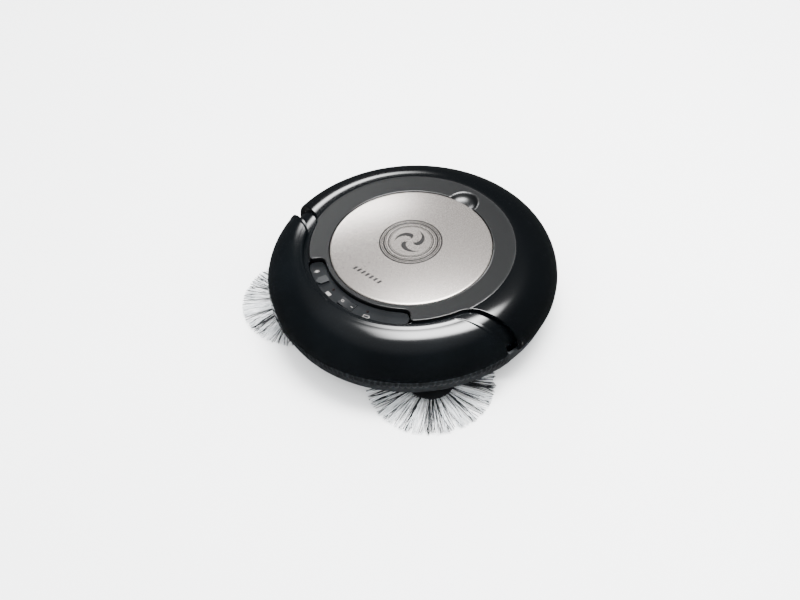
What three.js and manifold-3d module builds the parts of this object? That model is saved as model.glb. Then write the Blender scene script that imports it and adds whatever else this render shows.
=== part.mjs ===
// Robotic floor cleaner: a low round body on two driven wheels and a caster, with a sliding front bumper,
// two side brushes, a lid over a lift-out dust bin, and a small control strip.
// Millimetres, +Z up. The origin is on the floor at the body's axis, and the front of the machine is -Y.
import * as THREE from 'three';
import { mergeVertices } from 'three/addons/utils/BufferGeometryUtils.js';
import Module from 'manifold-3d';

const wasm = await Module();
wasm.setup();

// ---------------------------------------------------------------- driving dimensions
const GAP = 0.35;                 // clearance between touching pieces
const ROUND = 60;                 // facets around the large shells
const BODY_R = 151;               // widest radius of the body
const EQUATOR_Z = 42;             // height of the widest circle
const PLATEAU_Z = 81;             // top of the flat ring round the lid
const CREASE_R = 107.5;           // where the flat ring turns into the rounded shell
const ROUNDING = 2.1;             // exponent of the rounded shell's section
const SHELL = 2.4;                // wall thickness of the shells
const SHELL_BOTTOM_Z = 38;
const FLOOR_Z = 8;                // ground clearance
const FLOOR_T = 3;

const LID_R = 83.2;
const LID_EDGE_Z = 80;
const LID_RISE = 6.8;
const LID_GAP = 0.7;
const LEDGE_Z = 73.2;             // ledge that carries the lid
const LEDGE_R = 77;
const HINGE_Y = -78.4;
const HINGE_Z = 79.15;
const PIN_R = 0.65;
const BORE_R = 0.95;
const CRADLE_X = 10;              // the two hooks of the lid's hinge

const STEP_Z = 77;                // lower step between the flat ring and the bumper
const SHOULDER_R = 142.5;
const STRIP_FLOOR_Z = 72.2;       // floor of the pocket that holds the control strip
const STRIP_Z = 75.5;             // face of the control strip
const STRIP_IN_R = 89;
const STRIP_OUT_R = 106;
const STRIP_HALF_DEG = 40;
const FRONT_RING_R = 104.5;       // front edge of the flat ring
const WALL_SLOPE = 18;            // the shell's end walls sweep back by this angle, degrees
const WALL_AT = [109, -27.4];     // a point of the end wall
const BUMPER_SLOPE = 18.8;
const BUMPER_AT = [108, -43];
const RIM_R = 112;                // inner rim of the bumper

const WHEEL_R = 32;
const WHEEL_W = 15;
const WHEEL_X = 115;
const WHEEL_Y = 14;
const ARM_PIVOT = [50, 34];       // y and z of the suspension pivot
const STEP_AT = [108, -35];       // the base steps back here to make room for the bumper
const BRUSH_AT = [89.5, -77.5];
const BRUSH_R = 66;
const HUB_R = 25.5;
const CASTER_Y = -106;
const CASTER_TRAIL = 7;
const CASTER_R = 11;
const FAN_Y = 101;

const BIN = { x: 44, front: -30, back: 59, bottom: 34, rim: 73 };
const FILTER_Y = BIN.back - 1.8 - GAP;
const DECK_Z = 68;
const DECK_T = 2.4;
const WELL = { in: 85, out: 129, front: -23, back: 60, top: 70.4 };
const INLET = { x: 52, front: -47, back: -33 };
const BATTERY = { x: 38, front: -8, back: 62, bottom: 12, top: 31 };
const FLAP_DEG = 246.5;           // places round the control strip, measured from +X
const ROCKER_DEG = 271.2;
const FLAP_HINGE_R = 93.2;
const SOCKET_R = 98.5;
const ROCKER_R = 99;
const ROCKER_Z = 74;
const ROCKER_TILT = 7;            // the rocker is stored with one end down by this angle
const LAMP_PLACES = [[256.5, 95.4], [284.6, 96.7]];
const LAMP_NAMES = ['charge_lamp', 'battery_lamp'];

const SENSOR_PLACES = [[-42, -114], [42, -114], [0, 124]];
const SENSOR_NAMES = ['right', 'left', 'rear'];
const SCREW_PLACES = [[-64, -52], [64, -52], [-76, 92], [76, 92]];
const SCREW_NAMES = ['front_right', 'front_left', 'rear_right', 'rear_left'];
const VENT_PLACES = [-36, -24, -12, 0, 12, 24, 36];
const SWITCH_X = 42;

// ---------------------------------------------------------------- materials
const paint = (color, roughness, metalness = 0) => (
  new THREE.MeshStandardMaterial({ color, roughness, metalness }));
const finish = {
  gloss: paint(0x12171b, 0.12),
  satin: paint(0x33383b, 0.4),
  base: paint(0x4a4e51, 0.6),
  lid: paint(0xb9b5b1, 0.35, 0.6),
  rubber: paint(0x1b1f22, 0.9),
  black: paint(0x0c0e10, 0.5),
  steel: paint(0xb4b6b8, 0.3, 1),
  clear: paint(0x4c555a, 0.2),
  pleats: paint(0xe6e3da, 0.95),
  board: paint(0x1d5a35, 0.6),
  battery: paint(0x2c4f86, 0.5),
  bristle: paint(0xc8cacb, 0.6),
  lamp: paint(0x6d1f1b, 0.2),
};

// ---------------------------------------------------------------- solids
function toSolid(geometry) {
  const bare = geometry.clone();
  ['normal', 'uv'].forEach((name) => bare.deleteAttribute(name));
  const merged = mergeVertices(bare, 1e-4);
  const places = merged.attributes.position.array;
  const corner = (i) => new THREE.Vector3().fromArray(places, 3 * i);
  const index = [...merged.index.array];
  const faces = [];
  let volume = 0;
  for (let i = 0; i < index.length; i += 3) {
    const [a, b, c] = index.slice(i, i + 3);
    if (a === b || b === c || c === a) continue;
    faces.push([a, b, c]);
    volume += corner(a).dot(corner(b).cross(corner(c)));
  }
  const outward = volume > 0 ? faces : faces.map(([a, b, c]) => [a, c, b]);
  const triVerts = new Uint32Array(outward.flat());
  return new wasm.Manifold(new wasm.Mesh({ numProp: 3, vertProperties: new Float32Array(places), triVerts }));
}

function toGeometry(solid) {
  const { vertProperties, triVerts } = solid.getMesh();
  const geometry = new THREE.BufferGeometry();
  geometry.setAttribute('position', new THREE.BufferAttribute(new Float32Array(vertProperties), 3));
  geometry.setIndex([...triVerts]);
  geometry.computeVertexNormals();
  return geometry;
}

const join = (...solids) => solids.reduce((all, one) => all.add(one));
const cut = (solid, ...tools) => tools.reduce((left, tool) => left.subtract(tool), solid);

// A section in [radius, height] points, turned about the vertical axis. The section closes on itself.
function turn(section, facets = ROUND) {
  const points = [...section, section[0]].map(([r, z]) => new THREE.Vector2(r, z));
  return toSolid(new THREE.LatheGeometry(points, facets).rotateX(Math.PI / 2));
}

// The same about an axis parallel to X, with the axis through (y, z). The heights become places along X.
function turnAlongX(section, y, z, facets = 32) {
  const points = [...section, section[0]].map(([r, x]) => new THREE.Vector2(r, x));
  const ring = new THREE.LatheGeometry(points, facets).rotateX(Math.PI / 2).rotateY(Math.PI / 2);
  return toSolid(ring.translate(0, y, z));
}

const rodSection = (r, from, to) => [[0, from], [r, from], [r, to], [0, to]];
const ringSection = (inner, outer, from, to) => [[inner, from], [outer, from], [outer, to], [inner, to]];
const rod = (r, from, to, facets = 32) => turn(rodSection(r, from, to), facets);
const rodAt = (x, y, r, from, to, facets = 32) => rod(r, from, to, facets).translate([x, y, 0]);

function box(x0, x1, y0, y1, z0, z1) {
  const block = new THREE.BoxGeometry(x1 - x0, y1 - y0, z1 - z0);
  return toSolid(block.translate((x0 + x1) / 2, (y0 + y1) / 2, (z0 + z1) / 2));
}

// A closed outline raised from one height to another.
function raise(points, from, to) {
  const outline = new THREE.Shape(points.map(([x, y]) => new THREE.Vector2(x, y)));
  const options = { depth: to - from, bevelEnabled: false };
  return toSolid(new THREE.ExtrudeGeometry(outline, options).translate(0, 0, from));
}

const polar = (r, degrees) => {
  const t = THREE.MathUtils.degToRad(degrees);
  return [r * Math.cos(t), r * Math.sin(t)];
};

// ---------------------------------------------------------------- outlines seen from above
// Each is given for x >= 0 as a path from the right-hand side to the middle of the front.
function sample(path, step = 7) {
  const count = (curve) => Math.max(1, Math.ceil(curve.getLength() / step));
  const points = path.curves.flatMap((curve) => curve.getPoints(count(curve)));
  return points.filter((p, i) => i === 0 || p.distanceTo(points[i - 1]) > 0.01).map((p) => [p.x, p.y]);
}

const mirrored = (points) => [...points, ...points.map(([x, y]) => [-x, y]).reverse().slice(1)];
const slopeLine = ([x0, y0], slope, x) => y0 + (x - x0) * Math.tan(THREE.MathUtils.degToRad(slope));

// Front edge of the top cover, moved back into the cover by `back`.
function coverFront(back) {
  const slope = THREE.MathUtils.degToRad(WALL_SLOPE);
  const shift = [-Math.sin(slope) * back, Math.cos(slope) * back];
  const wall = (x) => [x + shift[0], slopeLine(WALL_AT, WALL_SLOPE, x) + shift[1]];
  const ring = FRONT_RING_R - back;
  const strip = STRIP_IN_R - back;
  const end = 270 + STRIP_HALF_DEG + 0.4 + THREE.MathUtils.radToDeg(back / 98);
  const ringEnd = polar(ring, 337);
  const path = new THREE.Path();
  path.moveTo(...wall(175));
  path.lineTo(...wall(118));
  path.bezierCurveTo(...wall(109), ringEnd[0] + 3.9, ringEnd[1] + 9.2, ...ringEnd);
  path.absarc(0, 0, ring, THREE.MathUtils.degToRad(337), THREE.MathUtils.degToRad(end + 2.2), true);
  path.quadraticCurveTo(...polar(ring, end), ...polar(ring - 4, end));
  path.lineTo(...polar(strip + 8, end));
  path.quadraticCurveTo(...polar(strip, end), ...polar(strip, end - 5.6));
  path.absarc(0, 0, strip, THREE.MathUtils.degToRad(end - 5.6), THREE.MathUtils.degToRad(270), true);
  return mirrored(sample(path));
}

// Rear edge of the bumper.
function bumperBack() {
  const line = (x) => [x, slopeLine(BUMPER_AT, BUMPER_SLOPE, x)];
  const path = new THREE.Path();
  path.moveTo(...line(175));
  path.lineTo(...line(114));
  path.quadraticCurveTo(...line(104.5), ...polar(RIM_R, 332));
  path.absarc(0, 0, RIM_R, THREE.MathUtils.degToRad(332), THREE.MathUtils.degToRad(270), true);
  return mirrored(sample(path));
}

const FAR = 175;
const behind = (edge, from, to) => raise([...edge, [-FAR, FAR], [FAR, FAR]], from, to);
const ahead = (edge, from, to) => raise([...edge, [-FAR, -FAR], [FAR, -FAR]].reverse(), from, to);

// Sector of the control strip with rounded ends.
function stripOutline(inner, outer, half) {
  const end = 270 + half;
  const path = new THREE.Path();
  path.moveTo(...polar(outer, 270));
  path.absarc(0, 0, outer, THREE.MathUtils.degToRad(270), THREE.MathUtils.degToRad(end - 4), false);
  path.quadraticCurveTo(...polar(outer, end), ...polar(outer - 7, end));
  path.lineTo(...polar(inner + 7, end));
  path.quadraticCurveTo(...polar(inner, end), ...polar(inner, end - 5));
  path.absarc(0, 0, inner, THREE.MathUtils.degToRad(end - 5), THREE.MathUtils.degToRad(270), true);
  return mirrored(sample(path)).slice(0, -1);
}

// ---------------------------------------------------------------- sections of the shells
// A quarter of a superellipse from (r0, z0) at the top to (r1, z1) at the side.
function rounded(r0, z0, r1, z1, steps) {
  return Array.from({ length: steps + 1 }, (_, i) => {
    const t = (Math.PI / 2) * (i / steps);
    return [r0 + (r1 - r0) * Math.sin(t) ** (2 / ROUNDING), z1 + (z0 - z1) * Math.cos(t) ** (2 / ROUNDING)];
  });
}

const outerCurve = (steps) => rounded(CREASE_R, PLATEAU_Z, BODY_R, EQUATOR_Z, steps);
const innerCurve = (steps) => rounded(CREASE_R - 1, PLATEAU_Z - SHELL, BODY_R - SHELL, EQUATOR_Z, steps);

// ---------------------------------------------------------------- outer shells
function topCover() {
  const opening = LID_R + LID_GAP;
  const shell = turn([[LEDGE_R, LEDGE_Z - 2.2], [LEDGE_R, LEDGE_Z], [opening, LEDGE_Z], [opening, 79.6],
    [opening + 0.5, 80.1], ...outerCurve(5), [BODY_R - 1, SHELL_BOTTOM_Z],
    [BODY_R - 1 - SHELL, SHELL_BOTTOM_Z], ...innerCurve(4).reverse(), [opening + 2.2, 77.9],
    [opening + 2.2, LEDGE_Z - 2.2]]);
  const wallTop = rounded(CREASE_R - 0.5, PLATEAU_Z - 1, BODY_R - 1.2, EQUATOR_Z, 4);
  const wallFoot = rounded(104, 73, 140.5, 44, 4).reverse();
  const walls = turn([[86, 74.3], [86, 79.2], ...wallTop, [BODY_R - 2.2, SHELL_BOTTOM_Z],
    [140.5, SHELL_BOTTOM_Z], ...wallFoot]);
  const edge = coverFront(0);
  const band = cut(behind(edge, 30, 90), behind(coverFront(2.2), 20, 99));
  const scoop = (grow) => {
    const ball = new THREE.SphereGeometry(1, 16, 10).scale(16 + grow, 16.5 + grow, 8 + grow);
    return toSolid(ball.translate(0, 83.5, PLATEAU_Z + 0.6));
  };
  const notchSkin = scoop(2).intersect(turn(ringSection(opening + 0.1, 108, 70, 79.9)));
  const cradles = [-CRADLE_X, CRADLE_X].map(hingeCradle);
  const skin = shell.intersect(behind(edge, 30, 90));
  return cut(join(skin, walls.intersect(band), notchSkin, ...cradles), scoop(0));
}

// Hook that holds the lid's pin from below and behind, on a post that stands on the ledge.
function hingeCradle(x) {
  const from = x - 3;
  const to = x + 3;
  const armTop = HINGE_Z - 0.2;
  const post = box(from, to, HINGE_Y + 3.3, HINGE_Y + 6, LEDGE_Z - 2, armTop);
  const arm = box(from, to, HINGE_Y + 0.2, HINGE_Y + 4, HINGE_Z - 2, armTop);
  const foot = box(from, to, -LEDGE_R - 1, HINGE_Y + 6, LEDGE_Z - 2, LEDGE_Z - 0.2);
  const hook = turnAlongX(rodSection(1.7, from, to), HINGE_Y, HINGE_Z, 12);
  const bore = turnAlongX(rodSection(BORE_R, from - 1, to + 1), HINGE_Y, HINGE_Z, 12);
  const openTop = box(from - 1, to + 1, HINGE_Y - 3, HINGE_Y + 8, HINGE_Z + 0.5, HINGE_Z + 4);
  const openFront = box(from - 1, to + 1, HINGE_Y - 3, HINGE_Y - 0.6, HINGE_Z - 3, HINGE_Z + 4);
  return cut(join(post, arm, foot, hook), bore, openTop, openFront);
}

function lidDisc() {
  const rim = LID_R - 0.8;
  const dome = (drop, r0, steps) => Array.from({ length: steps + 1 }, (_, i) => {
    const r = (r0 * i) / steps;
    return [r, LID_EDGE_Z + LID_RISE * (1 - (r / rim) ** 2) - drop];
  });
  const outside = dome(0, rim, 5);
  const inside = dome(2.4, 77, 3).reverse();
  const plate = turn([...outside, [LID_R, 79.2], [LID_R, 77.8], [80, 77.6], [79.6, LEDGE_Z + GAP],
    [77.6, LEDGE_Z + GAP], [77.6, 78], ...inside]);
  const underSkin = turn([...dome(0.25, rim, 5), [rim, 70], [0, 70]]);
  const frontRib = box(-24, 24, -82.2, -74, 70, 78);
  const knuckle = (x0, x1) => turnAlongX(rodSection(2, x0, x1), HINGE_Y, HINGE_Z, 12).intersect(underSkin);
  const relief = (x) => box(x - 3.6, x + 3.6, HINGE_Y - 2.2, HINGE_Y + 7, 70, HINGE_Z + 0.9);
  const bore = turnAlongX(rodSection(BORE_R, -20, 19.4), HINGE_Y, HINGE_Z, 12);
  const ribbed = cut(plate, frontRib);
  const withKnuckles = join(ribbed, knuckle(-20, -14.2), knuckle(-5.8, 5.8), knuckle(14.2, 20));
  return cut(withKnuckles, bore, relief(-CRADLE_X), relief(CRADLE_X));
}

function shoulder() {
  const reach = SHOULDER_R;
  const outside = rounded(103, STEP_Z, reach, 44, 5);
  const inside = rounded(107, STEP_Z - SHELL - 0.6, reach - SHELL, 44, 4).reverse();
  const shell = turn([[86.4, 69.5], [86.4, STEP_Z], ...outside, [reach, SHELL_BOTTOM_Z],
    [reach - SHELL, SHELL_BOTTOM_Z], ...inside, [107, 69.5]]);
  const front = ahead(coverFront(-GAP), 30, 90);
  const pocket = raise(stripOutline(80, STRIP_OUT_R, STRIP_HALF_DEG), STRIP_FLOOR_Z, 90);
  const socketHole = rodAt(...polar(SOCKET_R, FLAP_DEG), 5, 60, 80, 16);
  const rockerHole = turnBox(...polar(ROCKER_R, ROCKER_DEG), ROCKER_DEG, 20, 11.5, 60, 80);
  return cut(shell.intersect(front), pocket, socketHole, rockerHole);
}

// A block whose width runs round the machine and whose depth runs outwards, at a place on the strip.
function turnBox(x, y, degrees, width, depth, from, to) {
  const block = box(-width / 2, width / 2, -depth / 2, depth / 2, from, to);
  return block.rotate([0, 0, degrees - 270]).translate([x, y, 0]);
}

function frontBumper() {
  const beyond = (from) => ([r]) => r > from;
  const outside = rounded(CREASE_R, PLATEAU_Z, BODY_R, EQUATOR_Z, 7).filter(beyond(RIM_R + 3.5));
  const under = rounded(CREASE_R - 2, PLATEAU_Z - 2.8, BODY_R - SHELL, EQUATOR_Z, 6);
  const inside = under.filter(beyond(RIM_R + 3));
  const bottom = EQUATOR_Z - 0.2;
  const shell = turn([[RIM_R - 1, STEP_Z + 0.5], [RIM_R - 1, 80.4], [RIM_R + 0.4, 81.3], [RIM_R + 2, 80.9],
    ...outside, [BODY_R, bottom], [BODY_R - SHELL, bottom], ...inside.reverse(), [RIM_R + 2, STEP_Z + 0.5]]);
  return shell.intersect(ahead(bumperBack(), 30, 90));
}

function bumperTrim() {
  const top = EQUATOR_Z - 0.2 - GAP;
  const ring = turn([[BODY_R - 3.2, top], [BODY_R - 0.2, top], [BODY_R - 0.9, 33], [BODY_R - 3.6, 28],
    [145.2, 21], [142.8, 21], [BODY_R - 6, 28], [BODY_R - 3.6, 33]]);
  return ring.intersect(ahead(bumperBack(), 10, 60));
}

// ---------------------------------------------------------------- base
const spanX = (side, inner, outer) => [side * inner, side * outer].sort((a, b) => a - b);

function baseChassis() {
  const floorTop = FLOOR_Z + FLOOR_T;
  const rim = SHELL_BOTTOM_Z - GAP;
  const rearOut = [[0, FLOOR_Z], [134, FLOOR_Z], [138.5, 10], [145, 22], [147.6, 31], [147.8, rim]];
  const frontOut = [[0, FLOOR_Z], [129, FLOOR_Z], [134, 10], [137, 22], [137, rim]];
  const rear = turn([...rearOut, [145.4, rim], [145, 31], [142.4, 23], [136.5, floorTop], [0, floorTop]]);
  const front = turn([...frontOut, [134.6, rim], [134.6, 23], [131.5, floorTop], [0, floorTop]]);
  const stepEdge = (back) => {
    const corner = [STEP_AT[0], STEP_AT[1] + back];
    return mirrored([[FAR, slopeLine(corner, WALL_SLOPE, FAR)], corner, [0, corner[1]]]);
  };
  const rearFull = turn([...rearOut, [0, rim]]).subtract(rod(120, 0, 80, ROUND));
  const stepWall = rearFull.intersect(cut(behind(stepEdge(0), 0, 60), behind(stepEdge(SHELL), -5, 70)));
  const rearTray = rear.intersect(behind(stepEdge(0), 0, 60));
  const frontTray = front.intersect(ahead(stepEdge(0.5), 0, 60));
  const through = [0, 20];
  const inFloor = rod(131.5, ...through, ROUND);
  const wells = [-1, 1].map((side) => (
    box(...spanX(side, WELL.in, WELL.out), WELL.front, WELL.back, ...through).intersect(inFloor)));
  const shafts = [-1, 1].map((side) => rodAt(side * BRUSH_AT[0], BRUSH_AT[1], 5.5, ...through, 16));
  const caster = rodAt(0, CASTER_Y, 22, ...through, 24);
  const inlet = box(-INLET.x - 0.4, INLET.x + 0.4, INLET.front - 0.4, INLET.back + 0.4, ...through);
  const hatch = box(-BATTERY.x - 1, BATTERY.x + 1, BATTERY.front - 1, BATTERY.back + 4, ...through);
  const sensors = SENSOR_PLACES.map(([x, y]) => box(x - 9.4, x + 9.4, y - 5.4, y + 5.4, ...through));
  const vents = VENT_PLACES.map((x) => box(x - 2.5, x + 2.5, 84, 98, ...through));
  const screws = SCREW_PLACES.map(([x, y]) => rodAt(x, y, 3.4, ...through, 10));
  const blade = box(-44, 44, -29.5, -26.5, 0, 9.6);
  const tray = join(rearTray, frontTray, stepWall);
  return cut(tray, ...wells, ...shafts, caster, inlet, hatch, ...sensors, ...vents, ...screws, blade);
}

// A screw head's cross slot, as two thin blocks.
const crossSlot = (x, y, half, from, to) => [box(x - half, x + half, y - 0.4, y + 0.4, from, to),
  box(x - 0.4, x + 0.4, y - half, y + half, from, to)];

const baseScrew = (x, y) => cut(join(rodAt(x, y, 3, FLOOR_Z + 0.5, 10, 10), rodAt(x, y, 1.5, 9.5, 20, 8)),
  ...crossSlot(x, y, 2, FLOOR_Z, 9.3));

const sensorWindow = (x, y) => join(box(x - 9, x + 9, y - 5, y + 5, FLOOR_Z + 0.4, 10.5),
  box(x - 7.5, x + 7.5, y - 4, y + 4, 10, 15));

function batteryDoor() {
  const { x, front, back } = BATTERY;
  const plate = box(-x - 0.6, x + 0.6, front - 0.6, back + 3.6, FLOOR_Z, 10.6);
  return cut(plate, rodAt(0, back + 0.4, 2, 0, 9.2, 16), rodAt(0, back + 0.4, 1.2, 0, 20, 12));
}

const batteryDoorScrew = () => cut(join(rod(1.75, FLOOR_Z + 0.2, 8.9, 12), rod(0.9, 8.5, 11.4, 12)),
  box(-1.2, 1.2, -0.25, 0.25, FLOOR_Z, 8.5));

function batteryPack() {
  const { x, front, back, bottom, top } = BATTERY;
  const cells = [-28.5, -9.5, 9.5, 28.5].map((at) => {
    const cell = new THREE.CylinderGeometry(9.4, 9.4, back - front - 6, 16);
    return toSolid(cell.translate(at, (front + back) / 2, (bottom + top) / 2));
  });
  return join(...cells, box(-x, x, front, back - 2, bottom + 3, top - 4));
}

function suctionDuct() {
  const { x, front, back } = INLET;
  const outside = box(-x, x, front, back, FLOOR_Z - 0.6, 62);
  const inside = box(-x + 2, x - 2, front + 2, back - 2, 0, 60);
  const mouth = box(-x + 12, x - 12, back - 5, back + 5, 42, 57);
  const lip = box(-x - 3, x + 3, front - 2.4, back + 2.4, FLOOR_Z + FLOOR_T + GAP, 13.5);
  return cut(join(outside, lip), inside, mouth);
}

const squeegee = () => join(box(-43.6, 43.6, -29.1, -26.9, FLOOR_Z, 9.25),
  box(-43.6, 43.6, -28.6, -27.5, 2.5, 8.2));

function wheelWell(side) {
  const { in: inner, out, front, back, top } = WELL;
  const wall = 1.8;
  const bottom = FLOOR_Z + FLOOR_T + GAP;
  const outside = box(inner - wall, out + 0.4, front - wall, back + wall, bottom, top);
  const inside = box(inner, out - wall, front, back, 0, top - wall);
  const envelope = (grow) => turn([[0, 0], [131 + grow, 0], [131 + grow, 12], [135 + grow, 24],
    ...rounded(101.2 + grow, top + grow, 137 + grow, 44, 4).reverse(), [0, top + grow]]);
  const shape = cut(outside.intersect(envelope(wall)), inside.intersect(envelope(0)));
  const pinHole = turnAlongX(rodSection(2.4, 80, 140), ...ARM_PIVOT, 20);
  return side(cut(shape, pinHole));
}

// ---------------------------------------------------------------- drive
// The arm is the gearbox that carries the wheel; its pivot tube turns on the suspension pin.
function wheelArm() {
  const pivotTube = turnAlongX(rodSection(7, 93, 107), ...ARM_PIVOT, 24);
  const motor = turnAlongX(rodSection(13, 87, 94), WHEEL_Y, WHEEL_R, 24);
  const arm = join(box(93, 107, WHEEL_Y - 16, 47, 18.5, 50), pivotTube, motor);
  return cut(arm, turnAlongX(rodSection(2.3, 80, 120), ...ARM_PIVOT, 20),
    turnAlongX(rodSection(4.4, 102, 120), WHEEL_Y, WHEEL_R, 24));
}

const wheelHub = () => {
  const axleStub = [[0, 102.5], [3.9, 102.5], [3.9, 107.5], [9, 107.5], [9, 110]];
  const inner = WHEEL_X - WHEEL_W / 2 + 1;
  const outer = WHEEL_X + WHEEL_W / 2 - 1;
  const rimR = WHEEL_R - 7.4;
  const rimSection = [[rimR - 3, inner + 4], [rimR - 3, inner], [rimR, inner], [rimR, outer], [rimR - 3, outer],
    [rimR - 3, outer - 4]];
  const capSection = [[8, outer - 4], [8, outer - 1], [0, outer - 1]];
  const body = turnAlongX([...axleStub, [12, inner + 4], ...rimSection, ...capSection], WHEEL_Y, WHEEL_R, 24);
  const windows = [0, 1, 2, 3, 4].map((i) => {
    const t = (2 * Math.PI * i) / 5;
    return turnAlongX(rodSection(3.6, 100, 140), WHEEL_Y + 15 * Math.cos(t), WHEEL_R + 15 * Math.sin(t), 8);
  });
  return cut(body, ...windows);
};

const wheelTyre = () => {
  const half = WHEEL_W / 2;
  const seat = WHEEL_R - 7;
  const from = WHEEL_X - half;
  const to = WHEEL_X + half;
  const tread = [[WHEEL_R - 1.5, from], [WHEEL_R, from + 1.3], [WHEEL_R, to - 1.3], [WHEEL_R - 1.5, to]];
  return turnAlongX([[seat, from], ...tread, [seat, to]], WHEEL_Y, WHEEL_R, 36);
};

const suspensionPin = () => turnAlongX(rodSection(1.9, WELL.in - 2.5, WELL.out - 6), ...ARM_PIVOT, 16);

// Torsion spring: a coil round the pin between the arm and the well's wall.
function torsionSpring() {
  const turns = 3.5;
  const coil = new THREE.Curve();
  coil.getPoint = (t) => {
    const a = 2 * Math.PI * turns * t;
    const [y, z] = ARM_PIVOT;
    return new THREE.Vector3(86.4 + 1.5 * turns * t, y + 4.6 * Math.cos(a), z + 4.6 * Math.sin(a));
  };
  const wire = new THREE.Shape().absarc(0, 0, 0.6, 0, 2 * Math.PI);
  const options = { steps: 30, curveSegments: 3, extrudePath: coil, bevelEnabled: false };
  return toSolid(new THREE.ExtrudeGeometry(wire, options));
}

// ---------------------------------------------------------------- caster
const casterFork = () => {
  const axle = CASTER_Y + CASTER_TRAIL;
  const cap = join(rodAt(0, CASTER_Y, 15, 24.5, 28, 20), rodAt(0, CASTER_Y, 4, 27, 40, 12));
  const cheeks = [-1, 1].map((s) => box(...spanX(s, 6.2, 8.4), CASTER_Y - 4, axle + 6, 7, 26));
  return cut(join(cap, ...cheeks), turnAlongX(rodSection(1.9, -20, 20), axle, CASTER_R, 16));
};
const casterWheel = () => turnAlongX([[1.9, -5.6], [9.5, -5.6], [CASTER_R, -4.2], [CASTER_R, 4.2],
  [9.5, 5.6], [1.9, 5.6]], CASTER_Y + CASTER_TRAIL, CASTER_R, 24);
const casterAxle = () => turnAlongX(rodSection(1.55, -9, 9), CASTER_Y + CASTER_TRAIL, CASTER_R, 16);
const casterSocket = () => cut(rodAt(0, CASTER_Y, 25, FLOOR_Z + FLOOR_T + GAP, 34, 24),
  rodAt(0, CASTER_Y, 21, 0, 29, 24), rodAt(0, CASTER_Y, 4.4, 0, 60, 12));

// ---------------------------------------------------------------- side brushes (made at the origin)
const brushHub = () => cut(turn([[0, 4.4], [8, 4.2], [20, 4.6], [HUB_R - 0.6, 5.6], [HUB_R, 6.6],
  [HUB_R - 0.6, 7.4], [5, 7.6], [4.6, 24], [0, 24]], 24), rod(3.4, 0, 5.6, 12), rod(1.7, 0, 14, 8));
const brushRing = () => turn([[HUB_R + GAP, 5.2], [HUB_R + GAP, 7.2], [46, 5.4], [BRUSH_R, 3.4], [BRUSH_R, 2.2],
  [46, 3.8]], 32);
const brushScrew = () => cut(join(rod(3, 4.4, 5.3, 12), rod(1.35, 5, 13, 8)), box(-2, 2, -0.4, 0.4, 4, 4.8));
const brushMotor = () => cut(join(rod(13, 16, 42, 20), rod(8, 42, 50, 12), box(-11, 11, -6, 24, 15, 30)),
  rod(5.2, 0, 26, 16));

// ---------------------------------------------------------------- dust bin and air path
function dustBin() {
  const { x, front, back, bottom, rim } = BIN;
  const wall = 1.8;
  const flange = box(-x - 1.6, x + 1.6, front - 1.6, back + 1.6, rim - 2, rim);
  const body = join(box(-x, x, front, back, bottom, rim), flange);
  const mouth = box(-38, 38, front - 5, front + 5, 43, 56);
  const filterHole = box(-30, 30, back - 5, back + 5, 42, 64);
  const gripLegs = [-20, 20].map((at) => box(at - 2, at + 2, 12, 16.5, 44, rim));
  const grip = join(box(-22, 22, 12, 16.5, 68.5, rim), ...gripLegs, box(-22, 22, 12, 13.6, bottom + 0.5, 48));
  const hollow = box(-x + wall, x - wall, front + wall, back - wall, bottom + wall, 90);
  return join(cut(body, hollow, mouth, filterHole), grip);
}

function filterFrame() {
  return cut(box(-34, 34, FILTER_Y - 5, FILTER_Y, 38, 68), box(-30, 30, FILTER_Y - 12, FILTER_Y + 5, 42, 64));
}

function filterPleats() {
  const y0 = FILTER_Y - 4.6;
  const count = 14;
  const width = 59 / count;
  const zigzag = (shift) => Array.from({ length: count * 2 + 1 }, (_, i) => (
    [-29.5 + (i * width) / 2, y0 + (i % 2 ? 3 : 0) + shift]));
  return raise([...zigzag(0), ...zigzag(1.2).reverse()], 42.4, 63.6);
}

const fanHousing = () => {
  const outlet = box(0, 32, FAN_Y - 2, FAN_Y + 26, 22, 50).intersect(rod(134, 0, 80, 48));
  const scroll = join(rodAt(0, FAN_Y, 32, 22, 50, 28), outlet);
  const duct = box(-31, 31, BIN.back + 2.8, FAN_Y, 40.5, 65);
  const ductHollow = box(-29, 29, BIN.back - 3, FAN_Y - 6, 42.5, 63);
  const eye = rodAt(0, FAN_Y, 13, 40, 63, 16);
  return cut(join(scroll, duct), ductHollow, rodAt(0, FAN_Y, 29.5, 24, 48, 28), eye,
    box(4, 29.5, FAN_Y, FAN_Y + 40, 24, 48), rodAt(0, FAN_Y, 6, 0, 30, 20));
};
const fanImpeller = () => {
  const disc = turn([[0, 26], [27.5, 26], [27.5, 27.6], [9, 28.4], [6, 44], [0, 45]], 24);
  const blades = Array.from({ length: 9 }, (_, i) => (
    box(8, 27, -0.7, 0.7, 27, 38).rotate([0, 0, 18]).translate([-1, -3, 0]).rotate([0, 0, 40 * i])));
  return cut(join(disc, ...blades), rod(1.8, 0, 36, 16));
};
const fanMotor = () => join(rod(17, 12, 21.6, 20), rod(5.4, 21, 24, 12), rod(1.4, 23, 34, 8));

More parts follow.
